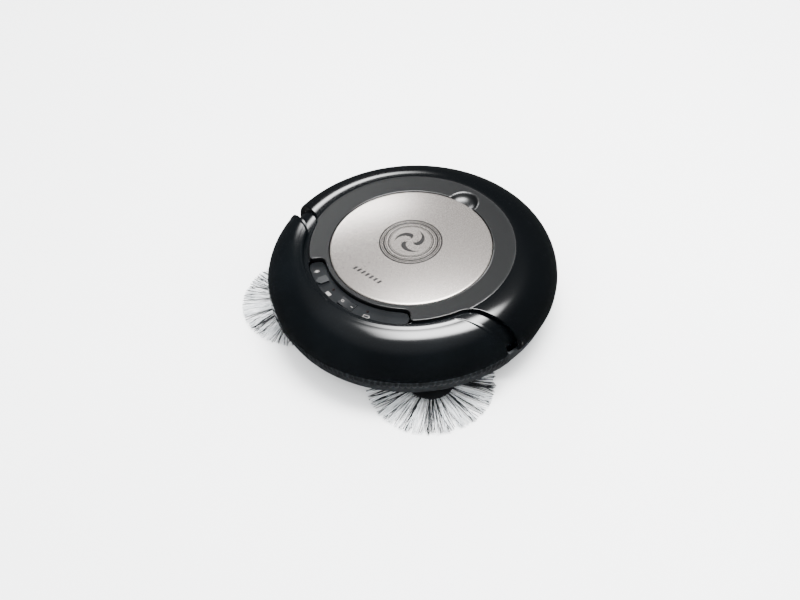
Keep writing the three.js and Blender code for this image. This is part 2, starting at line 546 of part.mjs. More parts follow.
// ---------------------------------------------------------------- controls
function controlPanel() {
  const outline = stripOutline(STRIP_IN_R + 0.5, STRIP_OUT_R - 0.45, STRIP_HALF_DEG - 0.3);
  const strip = raise(outline, STRIP_FLOOR_Z + 0.3, STRIP_Z);
  const socketHole = rodAt(...polar(SOCKET_R, FLAP_DEG), 4.2, 60, 80, 16);
  const rockerHole = turnBox(...polar(ROCKER_R, ROCKER_DEG), ROCKER_DEG, 19.2, 10.6, 60, 80);
  const lampHoles = LAMP_PLACES.map(([t, r]) => rodAt(...polar(r, t), 1.6, 60, 80, 10));
  return cut(strip, socketHole, rockerHole, ...lampHoles);
}

const jackSocket = () => cut(rod(3.8, 60, STRIP_Z - 0.3, 16), rod(2.9, 64, 80, 16)).add(rod(0.9, 63, 73, 8));
const lamp = () => turn([[0, 72.6], [1.25, 72.6], [1.25, 75.6], [0.8, 76], [0, 76.1]], 10);

// The rocker lies along X here, with its shaft along Y through the origin.
const powerRocker = () => {
  const side = [[-8.8, -4], [8.8, -4], [8.8, 2.6], [4.5, 2.2], [0, 1.9], [-4.5, 2.2], [-8.8, 2.6]];
  const outline = new THREE.Shape(side.map(([x, z]) => new THREE.Vector2(x, z)));
  const block = new THREE.ExtrudeGeometry(outline, { depth: 9.6, bevelEnabled: false });
  return toSolid(block.translate(0, 0, -4.8).rotateX(Math.PI / 2));
};

// The flap's hinge line is at y = 0, and the flap reaches outwards to its finger tab.
const jackFlap = () => {
  const outline = [[-4.6, 0], [4.6, 0], [4.6, 9], [3, 9.4], [2.2, 11], [0, 11.8], [-2.2, 11], [-3, 9.4],
    [-4.6, 9]];
  return join(raise(outline.map(([x, y]) => [x, -y]).reverse(), 0, 1.5), box(-3, 3, -1.5, 0.5, 0, 1.5));
};

// ---------------------------------------------------------------- electronics and inner frame
function innerDeck() {
  const { x, front, back } = BIN;
  const binHole = box(-x - 0.6, x + 0.6, front - 0.6, back + 0.6, 60, 80);
  const latchHole = box(-23, 23, back - 5, back + 9, 60, 80);
  return cut(rod(83, DECK_Z, DECK_Z + DECK_T, ROUND), binHole, latchHole);
}

// The control board, with a chip, a relay, a connector and two capacitors.
const mainBoard = () => join(box(-46, 46, -98, -56, 50, 51.6), box(-12, 6, -86, -68, 51, 54.5),
  box(-40, -28, -92, -64, 51, 60), box(22, 34, -90, -80, 51, 57), rodAt(30, -68, 5, 51, 63, 20),
  rodAt(16, -62, 3, 51, 58, 16));

const bumperSwitch = (x) => join(box(x - 10, x + 10, -122, -115, 18, 28),
  box(x - 2, x + 2, -124, -121, 21.5, 24.5));

// ---------------------------------------------------------------- assembly
const machine = new THREE.Group();

function piece(name, solid, material, parent = machine) {
  const mesh = new THREE.Mesh(toGeometry(solid), material);
  mesh.name = name;
  parent.add(mesh);
  return mesh;
}

function place(x, y, z, degrees = 0) {
  const group = new THREE.Group();
  group.position.set(x, y, z);
  group.rotation.z = THREE.MathUtils.degToRad(degrees);
  machine.add(group);
  return group;
}

piece('base_chassis', baseChassis(), finish.base);
piece('top_cover', topCover(), finish.gloss);
piece('shoulder_housing', shoulder(), finish.satin);
piece('front_bumper', frontBumper(), finish.gloss);
piece('bumper_trim', bumperTrim(), finish.rubber);
piece('lid_disc', lidDisc(), finish.lid);
piece('lid_hinge_pin', turnAlongX(rodSection(PIN_R, -19.2, 19.2), HINGE_Y, HINGE_Z, 12), finish.steel);
piece('inner_deck', innerDeck(), finish.black);

piece('dust_bin', dustBin(), finish.clear);
piece('filter_frame', filterFrame(), finish.black);
piece('filter_pleats', filterPleats(), finish.pleats);
piece('fan_housing', fanHousing(), finish.black);
const fan = place(0, FAN_Y, 0);
piece('fan_impeller', fanImpeller(), finish.satin, fan);
piece('fan_motor', fanMotor(), finish.steel, fan);
piece('suction_duct', suctionDuct(), finish.black);
piece('squeegee_blade', squeegee(), finish.rubber);

piece('control_panel', controlPanel(), finish.black);
piece('jack_socket', jackSocket(), finish.black, place(...polar(SOCKET_R, FLAP_DEG), 0));
const flap = place(...polar(FLAP_HINGE_R, FLAP_DEG), STRIP_Z + GAP, FLAP_DEG - 270);
piece('jack_flap', jackFlap(), finish.rubber, flap);
const rockerSeat = place(...polar(ROCKER_R, ROCKER_DEG), ROCKER_Z, ROCKER_DEG - 270);
const rocker = piece('power_rocker', powerRocker(), finish.black, rockerSeat);
rocker.rotation.y = THREE.MathUtils.degToRad(ROCKER_TILT);
LAMP_PLACES.forEach(([t, r], i) => piece(LAMP_NAMES[i], lamp(), finish.lamp, place(...polar(r, t), 0)));

piece('main_board', mainBoard(), finish.board);
piece('battery_pack', batteryPack(), finish.battery);
piece('battery_door', batteryDoor(), finish.base);
piece('battery_door_screw', batteryDoorScrew(), finish.steel, place(0, BATTERY.back + 0.4, 0));
SENSOR_PLACES.forEach((at, i) => piece(`cliff_sensor_${SENSOR_NAMES[i]}`, sensorWindow(...at), finish.black));
SCREW_PLACES.forEach((at, i) => piece(`base_screw_${SCREW_NAMES[i]}`, baseScrew(...at), finish.steel));

piece('caster_socket', casterSocket(), finish.base);
piece('caster_fork', casterFork(), finish.black);
piece('caster_wheel', casterWheel(), finish.rubber);
piece('caster_axle', casterAxle(), finish.steel);

// The machine's own left is +X, because it faces -Y.
for (const [name, s] of [['left', 1], ['right', -1]]) {
  const side = (solid) => (s > 0 ? solid : solid.mirror([1, 0, 0]));
  piece(`wheel_well_${name}`, wheelWell(side), finish.base);
  piece(`wheel_arm_${name}`, side(wheelArm()), finish.black);
  piece(`wheel_hub_${name}`, side(wheelHub()), finish.satin);
  piece(`wheel_tyre_${name}`, side(wheelTyre()), finish.rubber);
  piece(`suspension_pin_${name}`, side(suspensionPin()), finish.steel);
  piece(`suspension_spring_${name}`, side(torsionSpring()), finish.steel);
  piece(`bumper_switch_${name}`, bumperSwitch(s * SWITCH_X), finish.black);
  const brush = place(s * BRUSH_AT[0], BRUSH_AT[1], 0);
  piece(`brush_hub_${name}`, brushHub(), finish.black, brush);
  piece(`brush_bristles_${name}`, brushRing(), finish.bristle, brush);
  piece(`brush_screw_${name}`, brushScrew(), finish.steel, brush);
  piece(`brush_motor_${name}`, brushMotor(), finish.black, brush);
}

export default machine;
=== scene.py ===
"""Looks of a round robotic floor cleaner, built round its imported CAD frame."""
import math
import random

import bpy
import numpy as np
from mathutils import Matrix, Vector


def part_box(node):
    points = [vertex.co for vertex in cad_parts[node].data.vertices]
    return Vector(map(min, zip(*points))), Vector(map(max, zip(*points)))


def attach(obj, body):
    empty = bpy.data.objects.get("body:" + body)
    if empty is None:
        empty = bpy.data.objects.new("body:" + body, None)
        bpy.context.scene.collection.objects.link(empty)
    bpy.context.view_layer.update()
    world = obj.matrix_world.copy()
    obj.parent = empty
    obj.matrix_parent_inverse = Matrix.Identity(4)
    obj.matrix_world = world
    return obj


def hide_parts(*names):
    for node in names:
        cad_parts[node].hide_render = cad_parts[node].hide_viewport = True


bl_info = {
    "name": "Robotic floor cleaner",
    "version": (1, 0, 0),
    "blender": (4, 5, 0),
    "location": "View3D > Sidebar > Cleaner",
    "description": "Builds the shells, brushes, controls and finishes of a round robotic floor cleaner",
    "category": "Add Mesh",
}

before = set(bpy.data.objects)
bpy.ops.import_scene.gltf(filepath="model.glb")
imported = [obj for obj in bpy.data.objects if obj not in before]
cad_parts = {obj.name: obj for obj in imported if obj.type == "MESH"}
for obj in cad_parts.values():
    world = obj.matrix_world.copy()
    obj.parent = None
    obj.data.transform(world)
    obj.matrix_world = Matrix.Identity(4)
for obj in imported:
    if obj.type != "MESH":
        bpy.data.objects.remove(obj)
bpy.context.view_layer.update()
MM = 0.001

# ------------------------------------------------------------------ sizes shared by the shells, in mm
BODY_R = round(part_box("top_cover")[1].y / MM, 1)     # widest radius, at the equator
EQUATOR_Z = 42.0
SHELL_BOTTOM_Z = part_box("top_cover")[0].z / MM
PLATEAU_Z = 81.0                                     # flat ring round the lid
CREASE_R = 107.5
ROUNDING = 2.1                                       # superellipse exponent of the rounded shell
LID_R = round(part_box("lid_disc")[1].x / MM, 1)
OPENING_R = LID_R + 0.7
LID_EDGE_Z = 80.0
LID_TOP_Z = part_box("lid_disc")[1].z / MM
STEP_Z = 77.0                                        # lower step between the flat ring and the bumper
SHOULDER_R = 142.5
FRONT_RING_R = 104.5
STRIP_IN_R = 89.0
STRIP_OUT_R = 106.0
STRIP_HALF_DEG = 40.0
STRIP_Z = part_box("control_panel")[1].z / MM
WALL_AT, WALL_SLOPE = (109.0, -27.4), 18.0           # the cover's end wall, seen from above
BUMPER_AT, BUMPER_SLOPE = (108.0, -43.0), 18.8       # the bumper's ends
RIM_R = 111.4
TRIM_TOP_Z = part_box("bumper_trim")[1].z / MM
ROCKER_DEG, ROCKER_R, ROCKER_Z, ROCKER_TILT = 271.2, 99.0, 74.0, 7.0
SIDES = ("left", "right")


# ------------------------------------------------------------------ colours and nodes
def linear(hex_colour):
    """Linear RGBA of an sRGB hex value."""
    channels = [int(hex_colour[i:i + 2], 16) / 255 for i in (1, 3, 5)]
    return [c / 12.92 if c <= 0.04045 else ((c + 0.055) / 1.055) ** 2.4 for c in channels] + [1.0]


def add_node(tree, kind, inputs=None, **settings):
    """Adds one node with its settings, values and links."""
    node = tree.nodes.new(kind)
    for name, value in settings.items():
        setattr(node, name, value)
    for socket, value in (inputs or {}).items():
        if isinstance(value, bpy.types.NodeSocket):
            tree.links.new(value, node.inputs[socket])
        else:
            node.inputs[socket].default_value = value
    return node


def per_metre(size_mm):
    """Noise scale whose features have this size."""
    return 1000.0 / size_mm


def noise_at(tree, place, size_mm, detail):
    """Noise over an object-space place, with features of this size."""
    return add_node(tree, "ShaderNodeTexNoise", {
        "Vector": place, "Scale": per_metre(size_mm), "Detail": detail})


def new_material(name, **sockets):
    """A material with only its shader's own sockets set. Returns it, its tree and the shader."""
    material = bpy.data.materials.new(name)
    material.use_nodes = True
    tree = material.node_tree
    shader = tree.nodes["Principled BSDF"]
    for socket, value in sockets.items():
        shader.inputs[socket.replace("_", " ")].default_value = value
    return material, tree, shader


def vary_colour(tree, shader, low, high, size_mm, detail=3.0, spread=(0.3, 0.7)):
    """Base colour that wanders between two colours over patches of this size."""
    place = add_node(tree, "ShaderNodeTexCoord").outputs["Object"]
    noise = noise_at(tree, place, size_mm, detail)
    ramp = add_node(tree, "ShaderNodeValToRGB", {"Fac": noise.outputs["Fac"]})
    for stop, position, colour in zip(ramp.color_ramp.elements, spread, (low, high)):
        stop.position = position
        stop.color = colour
    tree.links.new(ramp.outputs["Color"], shader.inputs["Base Color"])
    return place, noise


def vary_roughness(tree, shader, noise, low, high):
    """Roughness that follows a noise between two values."""
    span = add_node(tree, "ShaderNodeMapRange", {
        "Value": noise.outputs["Fac"], "To Min": low, "To Max": high})
    tree.links.new(span.outputs["Result"], shader.inputs["Roughness"])


def bump(tree, shader, place, size_mm, height_mm, strength=1.0, detail=2.0):
    """Surface relief of this grain size and height."""
    noise = noise_at(tree, place, size_mm, detail)
    relief = add_node(tree, "ShaderNodeBump", {
        "Height": noise.outputs["Fac"], "Distance": height_mm * MM, "Strength": strength})
    tree.links.new(relief.outputs["Normal"], shader.inputs["Normal"])


# ------------------------------------------------------------------ settings
class CleanerShellSettings(bpy.types.PropertyGroup):
    """Sizes and colours of the moulded shells."""
    shell_colour: bpy.props.FloatVectorProperty(
        name="Shell", description="Glossy blue-black ABS of the rounded shell and bumper",
        size=4, subtype="COLOR", min=0, max=1, default=linear("#020304"))
    ring_colour: bpy.props.FloatVectorProperty(
        name="Ring", description="Satin ABS of the flat ring round the lid",
        size=4, subtype="COLOR", min=0, max=1, default=linear("#040506"))
    base_colour: bpy.props.FloatVectorProperty(
        name="Base", description="Textured ABS of the base tray",
        size=4, subtype="COLOR", min=0, max=1, default=linear("#15191b"))
    edge_round: bpy.props.FloatProperty(
        name="Edge radius", description="Rounding along the shells' edges",
        default=0.9 * MM, min=0.2 * MM, max=2 * MM, unit="LENGTH")
    wall: bpy.props.FloatProperty(
        name="Wall", description="Thickness of the moulded walls",
        default=1.4 * MM, min=0.8 * MM, max=3 * MM, unit="LENGTH")


class CleanerLidSettings(bpy.types.PropertyGroup):
    """Sizes and colours of the lid and its print."""
    paint_colour: bpy.props.FloatVectorProperty(
        name="Paint", description="Warm silver paint of the lid",
        size=4, subtype="COLOR", min=0, max=1, default=linear("#8b8581"))
    ink_colour: bpy.props.FloatVectorProperty(
        name="Ink", description="Pad-printed ink of the lid's rings",
        size=4, subtype="COLOR", min=0, max=1, default=linear("#060404"))
    ring_radius: bpy.props.FloatProperty(
        name="Ring radius", description="Outer radius of the printed rings",
        default=31.7 * MM, min=20 * MM, max=50 * MM, unit="LENGTH")


class CleanerTrimSettings(bpy.types.PropertyGroup):
    """Sizes and colour of the rubber trim."""
    rubber_colour: bpy.props.FloatVectorProperty(
        name="Rubber", description="Soft rubber under the bumper",
        size=4, subtype="COLOR", min=0, max=1, default=linear("#0c1012"))
    bead_pitch: bpy.props.FloatProperty(
        name="Bead pitch", description="Distance from bead to bead",
        default=5.8 * MM, min=3 * MM, max=12 * MM, unit="LENGTH")


class CleanerBrushSettings(bpy.types.PropertyGroup):
    """Sizes and colours of the side brushes."""
    tufts: bpy.props.IntProperty(
        name="Tufts", description="Tufts of filaments round each hub", default=62, min=12, max=120)
    filaments: bpy.props.IntProperty(
        name="Filaments", description="Filaments in each tuft", default=7, min=2, max=20)
    thickness: bpy.props.FloatProperty(
        name="Filament", description="Diameter of a filament at its root",
        default=1.05 * MM, min=0.2 * MM, max=1.5 * MM, unit="LENGTH")
    black_colour: bpy.props.FloatVectorProperty(
        name="Black nylon", description="Dyed filaments",
        size=4, subtype="COLOR", min=0, max=1, default=linear("#0a0c0e"))
    clear_colour: bpy.props.FloatVectorProperty(
        name="Clear nylon", description="Undyed filaments",
        size=4, subtype="COLOR", min=0, max=1, default=linear("#c4c8cb"))


class CleanerStageSettings(bpy.types.PropertyGroup):
    """Floor, light and view."""
    floor_colour: bpy.props.FloatVectorProperty(
        name="Floor", description="Plain pale floor",
        size=4, subtype="COLOR", min=0, max=1, default=linear("#f4f4f4"))
    key_watts: bpy.props.FloatProperty(
        name="Top light", description="Power of the large softbox over the machine",
        default=230.0, min=0, max=500, unit="POWER")
    back_watts: bpy.props.FloatProperty(
        name="Back light", description="Power of the dim panel behind the machine",
        default=55.0, min=0, max=500, unit="POWER")
    surround: bpy.props.FloatProperty(
        name="Surround", description="Brightness of the pale surround", default=3.3, min=0, max=4)
    surround_in_gloss: bpy.props.FloatProperty(
        name="Surround in gloss", description="Brightness, in reflections, of the surround straight overhead",
        default=0.6, min=0, max=4)
    view_distance: bpy.props.FloatProperty(
        name="View distance", description="Distance from the camera to the machine",
        default=1.25, min=0.5, max=4, unit="LENGTH")


# ------------------------------------------------------------------ materials
def gloss_abs(shell):
    """Polished moulded ABS: deep blue-black with sharp reflections and the faintest orange peel."""
    material, tree, shader = new_material(
        "gloss_abs", IOR=1.5, Roughness=0.13)
    place, noise = vary_colour(tree, shader, shell.shell_colour, linear("#040608"), 60)
    vary_roughness(tree, shader, noise, 0.1, 0.16)
    bump(tree, shader, place, 9, 0.004)
    return material


def cover_abs(shell):
    """One ABS moulding, two textures: satin grain on the flat ring, a mirror polish outside the crease."""
    material, tree, shader = new_material("cover_abs", IOR=1.5, Specular_IOR_Level=0.5)
    place = add_node(tree, "ShaderNodeTexCoord").outputs["Object"]
    flat = add_node(tree, "ShaderNodeVectorMath", {0: place, 1: (1, 1, 0)}, operation="MULTIPLY")
    reach = add_node(tree, "ShaderNodeVectorMath", {0: flat.outputs["Vector"]}, operation="LENGTH")
    outside = add_node(tree, "ShaderNodeMapRange", {
        "Value": reach.outputs["Value"],
        "From Min": (CREASE_R - 0.5) * MM, "From Max": (CREASE_R + 0.1) * MM})
    tint = add_node(tree, "ShaderNodeMix", {
        "Factor": outside.outputs["Result"], "A": shell.ring_colour, "B": shell.shell_colour},
        data_type="RGBA")
    noise = noise_at(tree, place, 0.8, 2.0)
    ring_rough, polished_rough, ring_grain = 0.3, 0.13, 0.6
    rough = add_node(tree, "ShaderNodeMapRange", {
        "Value": outside.outputs["Result"], "To Min": ring_rough, "To Max": polished_rough})
    grain = add_node(tree, "ShaderNodeMapRange", {
        "Value": outside.outputs["Result"], "To Min": ring_grain, "To Max": 0.0})
    relief = add_node(tree, "ShaderNodeBump", {
        "Height": noise.outputs["Fac"], "Distance": 0.012 * MM, "Strength": grain.outputs["Result"]})
    tree.links.new(tint.outputs["Result"], shader.inputs["Base Color"])
    tree.links.new(rough.outputs["Result"], shader.inputs["Roughness"])
    tree.links.new(relief.outputs["Normal"], shader.inputs["Normal"])
    return material


def satin_abs(shell):
    """Moulded ABS with a fine spark-eroded grain: a soft grey sheen with no sharp reflection."""
    material, tree, shader = new_material("satin_abs", IOR=1.5, Roughness=0.42)
    place, noise = vary_colour(tree, shader, shell.ring_colour, linear("#15191b"), 45)
    vary_roughness(tree, shader, noise, 0.36, 0.46)
    bump(tree, shader, place, 0.7, 0.012)
    return material


def textured_abs(shell):
    """Moulded ABS with a coarser grain, drawn at 0.9 mm so that it shows: dull grey with soft speckle."""
    material, tree, shader = new_material("textured_abs", IOR=1.5, Roughness=0.6)
    place, noise = vary_colour(tree, shader, shell.base_colour, linear("#1d2225"), 18)
    vary_roughness(tree, shader, noise, 0.52, 0.68)
    bump(tree, shader, place, 0.9, 0.05)
    return material


def matt_black_abs():
    """Plain black ABS of inner and small parts: nearly black with a weak sheen."""
    material, tree, shader = new_material("matt_black_abs", IOR=1.5, Roughness=0.45)
    place, noise = vary_colour(tree, shader, linear("#0b0c0e"), linear("#121416"), 22)
    vary_roughness(tree, shader, noise, 0.36, 0.52)
    bump(tree, shader, place, 1.1, 0.02)
    return material


def strip_abs():
    """Black polished ABS of the control strip: a dark mirror with slight softness."""
    material, tree, shader = new_material("strip_abs", IOR=1.45, Roughness=0.45, Specular_IOR_Level=0.15)
    place, noise = vary_colour(tree, shader, linear("#040608"), linear("#080b0e"), 30)
    vary_roughness(tree, shader, noise, 0.36, 0.48)
    bump(tree, shader, place, 6, 0.004)
    return material


def silver_paint(lid):
    """Sprayed warm silver: a satin metallic that spreads the light, with fine flakes drawn at 0.5 mm."""
    material, tree, shader = new_material(
        "silver_paint", Metallic=0.8, Roughness=0.34, Coat_Weight=0.1, Coat_Roughness=0.25)
    place, noise = vary_colour(tree, shader, lid.paint_colour, linear("#aaa49f"), 0.5, detail=1.0)
    vary_roughness(tree, shader, noise, 0.24, 0.3)
    bump(tree, shader, place, 0.5, 0.004)
    return material


def printed_ink(name, colour, roughness=0.5):
    """Pad-printed ink: flat colour with a thin, slightly uneven film."""
    material, tree, shader = new_material(name, IOR=1.5, Roughness=roughness, Specular_IOR_Level=0.25)
    lifted = [min(1.0, c * 1.15 + 0.003) for c in colour[:3]] + [1.0]
    place, noise = vary_colour(tree, shader, list(colour), lifted, 2.5)
    vary_roughness(tree, shader, noise, roughness - 0.05, roughness + 0.05)
    bump(tree, shader, place, 0.8, 0.004)
    return material


def moulded_rubber(name, dark, light, roughness=0.78):
    """Moulded rubber: matt, slightly dusty and uneven, with no clear reflection."""
    material, tree, shader = new_material(name, IOR=1.52, Roughness=roughness, Specular_IOR_Level=0.35)
    place, noise = vary_colour(tree, shader, dark, light, 7)
    vary_roughness(tree, shader, noise, roughness - 0.08, roughness + 0.08)
    bump(tree, shader, place, 0.8, 0.03)
    return material


def nylon(name, colour, light, transmission):
    """Extruded nylon filament: smooth, with a soft glint along it."""
    material, tree, shader = new_material(name, IOR=1.53, Roughness=0.35, Transmission_Weight=transmission)
    _, noise = vary_colour(tree, shader, colour, light, 5)
    vary_roughness(tree, shader, noise, 0.3, 0.42)
    return material


def plated_steel():
    """Zinc-plated steel: bright and slightly streaky from turning."""
    material, tree, shader = new_material("plated_steel", Metallic=1.0, Roughness=0.28)
    place, noise = vary_colour(tree, shader, linear("#a9abac"), linear("#c3c5c6"), 3)
    vary_roughness(tree, shader, noise, 0.2, 0.38)
    bump(tree, shader, place, 0.6, 0.006)
    return material


def smoked_polycarbonate():
    """Clear smoked polycarbonate of the bin: you see into it, and it darkens what is behind."""
    material, tree, shader = new_material(
        "smoked_polycarbonate", IOR=1.58, Roughness=0.08, Transmission_Weight=0.8)
    place, noise = vary_colour(tree, shader, linear("#5b636a"), linear("#6a737a"), 30)
    vary_roughness(tree, shader, noise, 0.05, 0.14)
    bump(tree, shader, place, 12, 0.01)
    return material


def pleated_paper():
    """Pleated fibre paper: off-white, fully matt and fibrous."""
    material, tree, shader = new_material("pleated_paper", IOR=1.5, Roughness=0.95)
    place, noise = vary_colour(tree, shader, linear("#d9d3c2"), linear("#efebdf"), 2.2)
    vary_roughness(tree, shader, noise, 0.88, 1.0)
    bump(tree, shader, place, 0.5, 0.06)
    return material


def solder_mask():
    """Circuit board lacquer: green over faint copper tracks."""
    material, tree, shader = new_material("solder_mask", IOR=1.5, Roughness=0.35)
    place, noise = vary_colour(tree, shader, linear("#0f4a2b"), linear("#1c6a3f"), 2, spread=(0.45, 0.55))
    vary_roughness(tree, shader, noise, 0.3, 0.42)
    bump(tree, shader, place, 1.5, 0.02)
    return material


def shrink_sleeve():
    """PVC shrink sleeve round the cells: blue, slightly wrinkled and shiny."""
    material, tree, shader = new_material("shrink_sleeve", IOR=1.53, Roughness=0.3)
    place, noise = vary_colour(tree, shader, linear("#1f3f7a"), linear("#2c5599"), 14)
    vary_roughness(tree, shader, noise, 0.24, 0.4)
    bump(tree, shader, place, 5, 0.08)
    return material


def lens_acrylic():
    """Tinted acrylic lens of an unlit lamp: dark red, glassy."""
    material, tree, shader = new_material("lens_acrylic", IOR=1.49, Roughness=0.25, Specular_IOR_Level=0.3)
    _, noise = vary_colour(tree, shader, linear("#080202"), linear("#0e0303"), 1)
    vary_roughness(tree, shader, noise, 0.22, 0.3)
    return material


def studio_floor(stage):
    """Painted studio floor: pale and matt, with a barely visible roller texture."""
    material, tree, shader = new_material("studio_floor", IOR=1.45, Roughness=0.9, Specular_IOR_Level=0.1)
    _, noise = vary_colour(tree, shader, stage.floor_colour, linear("#f7f7f7"), 300)
    vary_roughness(tree, shader, noise, 0.85, 0.95)
    return material


MATERIAL_MAKERS = {
    "gloss_abs": lambda s: gloss_abs(s.cleaner_shell),
    "cover_abs": lambda s: cover_abs(s.cleaner_shell),
    "satin_abs": lambda s: satin_abs(s.cleaner_shell),
    "textured_abs": lambda s: textured_abs(s.cleaner_shell),
    "matt_black_abs": lambda s: matt_black_abs(),
    "strip_abs": lambda s: strip_abs(),
    "silver_paint": lambda s: silver_paint(s.cleaner_lid),
    "lid_ink": lambda s: printed_ink("lid_ink", s.cleaner_lid.ink_colour),
    "icon_ink": lambda s: printed_ink("icon_ink", linear("#6f6c6a"), 0.45),
    "trim_rubber": lambda s: moulded_rubber("trim_rubber", s.cleaner_trim.rubber_colour, linear("#1c2226")),
    "bead_rubber": lambda s: moulded_rubber("bead_rubber", linear("#090c0e"), linear("#101417"), 0.45),
    "tread_rubber": lambda s: moulded_rubber("tread_rubber", linear("#17181a"), linear("#222426")),
    "black_nylon": lambda s: nylon("black_nylon", s.cleaner_brush.black_colour, linear("#2b2f33"), 0.0),
    "clear_nylon": lambda s: nylon("clear_nylon", s.cleaner_brush.clear_colour, linear("#dfe2e4"), 0.0),
    "plated_steel": lambda s: plated_steel(),
    "smoked_polycarbonate": lambda s: smoked_polycarbonate(),
    "pleated_paper": lambda s: pleated_paper(),
    "solder_mask": lambda s: solder_mask(),
    "shrink_sleeve": lambda s: shrink_sleeve(),
    "lens_acrylic": lambda s: lens_acrylic(),
    "studio_floor": lambda s: studio_floor(s.cleaner_stage),
}


def finish_of(name):
    """The material of that name, made the first time it is asked for."""
    return bpy.data.materials.get(name) or MATERIAL_MAKERS[name](bpy.context.scene)


# ------------------------------------------------------------------ meshes
def make_piece(name, points_mm, faces, body, material, replaces=(), shell=0.0):
    """A smooth mesh piece that rides on a body. With shell, the sheet gets that wall thickness inwards."""
    mesh = bpy.data.meshes.new(name)
    mesh.from_pydata([tuple(c * MM for c in p) for p in points_mm], [], faces)
    mesh.validate()
    mesh.polygons.foreach_set("use_smooth", [True] * len(mesh.polygons))
    for one in ([material] if isinstance(material, str) else material):
        mesh.materials.append(finish_of(one))
    piece = bpy.data.objects.new(name, mesh)
    bpy.context.scene.collection.objects.link(piece)
    if shell:
        centre = Vector((0, 0, 0.03))
        facing = sum(f.normal.dot(f.center - centre) * f.area for f in mesh.polygons)
        if facing < 0:
            mesh.flip_normals()
        wall = piece.modifiers.new("wall", "SOLIDIFY")
        wall.thickness = shell
        wall.offset = -1
    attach(piece, body)
    if replaces:
        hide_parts(*replaces)
    return piece


def grid_faces(rows, columns, loop_rows=False, loop_columns=False):
    """Quads of a grid of points that is stored row after row."""
    faces = []
    for i in range(rows if loop_rows else rows - 1):
        for j in range(columns if loop_columns else columns - 1):
            k, m = (i + 1) % rows, (j + 1) % columns
            faces.append((i * columns + j, k * columns + j, k * columns + m, i * columns + m))
    return faces


def polar(radius, degrees, z):
    angle = math.radians(degrees)
    return (radius * math.cos(angle), radius * math.sin(angle), z)


def turned(section, facets=180, centre=(0, 0), closed=True):
    """Points and faces of a section in (radius, height) turned about a vertical axis."""
    points = []
    for i in range(facets):
        for r, z in section:
            x, y, _ = polar(r, 360 * i / facets, z)
            points.append((x + centre[0], y + centre[1], z))
    return points, grid_faces(facets, len(section), loop_rows=True, loop_columns=closed)


def round_corners(outline, radius, steps=4, closed=True):
    """The outline with each corner replaced by an arc-like curve of about that radius."""
    result = []
    count = len(outline)
    for i, corner in enumerate(outline):
        if not closed and i in (0, count - 1):
            result.append(corner)
            continue
        here = Vector(corner)
        before, after = Vector(outline[i - 1]) - here, Vector(outline[(i + 1) % count]) - here
        reach = min(radius, before.length * 0.48, after.length * 0.48)
        start, end = here + before.normalized() * reach, here + after.normalized() * reach
        for k in range(steps + 1):
            t = k / steps
            result.append(tuple(start * (1 - t) ** 2 + here * 2 * t * (1 - t) + end * t * t))
    return result


def combine(parts):
    """One list of points and faces from several."""
    points, faces = [], []
    for some_points, some_faces in parts:
        offset = len(points)
        points.extend(some_points)
        faces.extend(tuple(v + offset for v in face) for face in some_faces)
    return points, faces


def dress(node, material, bevel_mm=0.3):
    """Gives a carried-over CAD node its finish and rounded edges."""
    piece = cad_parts[node]
    piece.data.materials.clear()
    piece.data.materials.append(finish_of(material))
    piece.data.polygons.foreach_set("use_smooth", [True] * len(piece.data.polygons))
    weld = piece.modifiers.new("weld", "WELD")
    weld.merge_threshold = 0.005 * MM
    if bevel_mm:
        flatten = piece.modifiers.new("flat_faces", "DECIMATE")
        flatten.decimate_type = "DISSOLVE"
        flatten.angle_limit = math.radians(0.5)
        bevel = piece.modifiers.new("edges", "BEVEL")
        bevel.width = bevel_mm * MM
        bevel.segments = 2
        bevel.limit_method = "ANGLE"
        bevel.angle_limit = math.radians(35)
        bevel.harden_normals = True
    else:
        piece.modifiers.new("creases", "EDGE_SPLIT").split_angle = math.radians(35)
    return piece


# ------------------------------------------------------------------ the shells' shared shapes
def rounded_side(r0, z0, r1, z1, steps):
    """Quarter of a superellipse from (r0, z0) at the top to (r1, z1) at the side."""
    turns = [math.pi / 2 * i / steps for i in range(steps + 1)]
    power = 2 / ROUNDING
    return [(r0 + (r1 - r0) * math.sin(t) ** power, z1 + (z0 - z1) * max(0.0, math.cos(t)) ** power)
            for t in turns]


def line_angle(radius, through, slope_deg):
    """Angle, in degrees from +X, at which a circle about the axis meets a line in the +X half."""
    m = math.tan(math.radians(slope_deg))
    c = through[1] - m * through[0]
    root = math.sqrt(max(0.0, m * m * c * c - (1 + m * m) * (c * c - radius * radius)))
    x = (-m * c + root) / (1 + m * m)
    return math.degrees(math.atan2(m * x + c, x))


def bezier(*corners, steps=12):
    """Points of a Bezier curve with these control points."""
    points = [Vector(c) for c in corners]
    result = []
    for k in range(steps + 1):
        t, level = k / steps, points
        while len(level) > 1:
            level = [a.lerp(b, t) for a, b in zip(level, level[1:])]
        result.append(level[0])
    return result


def flat(radius, degrees):
    return Vector(polar(radius, degrees, 0)[:2])


def arc(radius, start, end, step_mm=1.6):
    """Points of an arc about the axis, seen from above."""
    count = max(2, int(abs(end - start) * math.pi / 180 * radius / step_mm))
    return [flat(radius, start + (end - start) * k / count) for k in range(count + 1)]


def evenly(points, step):
    """The same open line with points that far apart."""
    lengths = np.concatenate([[0], np.cumsum([(b - a).length for a, b in zip(points, points[1:])])])
    wanted = np.linspace(0, lengths[-1], max(2, int(lengths[-1] / step)) + 1)
    return [Vector(p) for p in np.column_stack(
        [np.interp(wanted, lengths, [p[k] for p in points]) for k in range(len(points[0]))])]


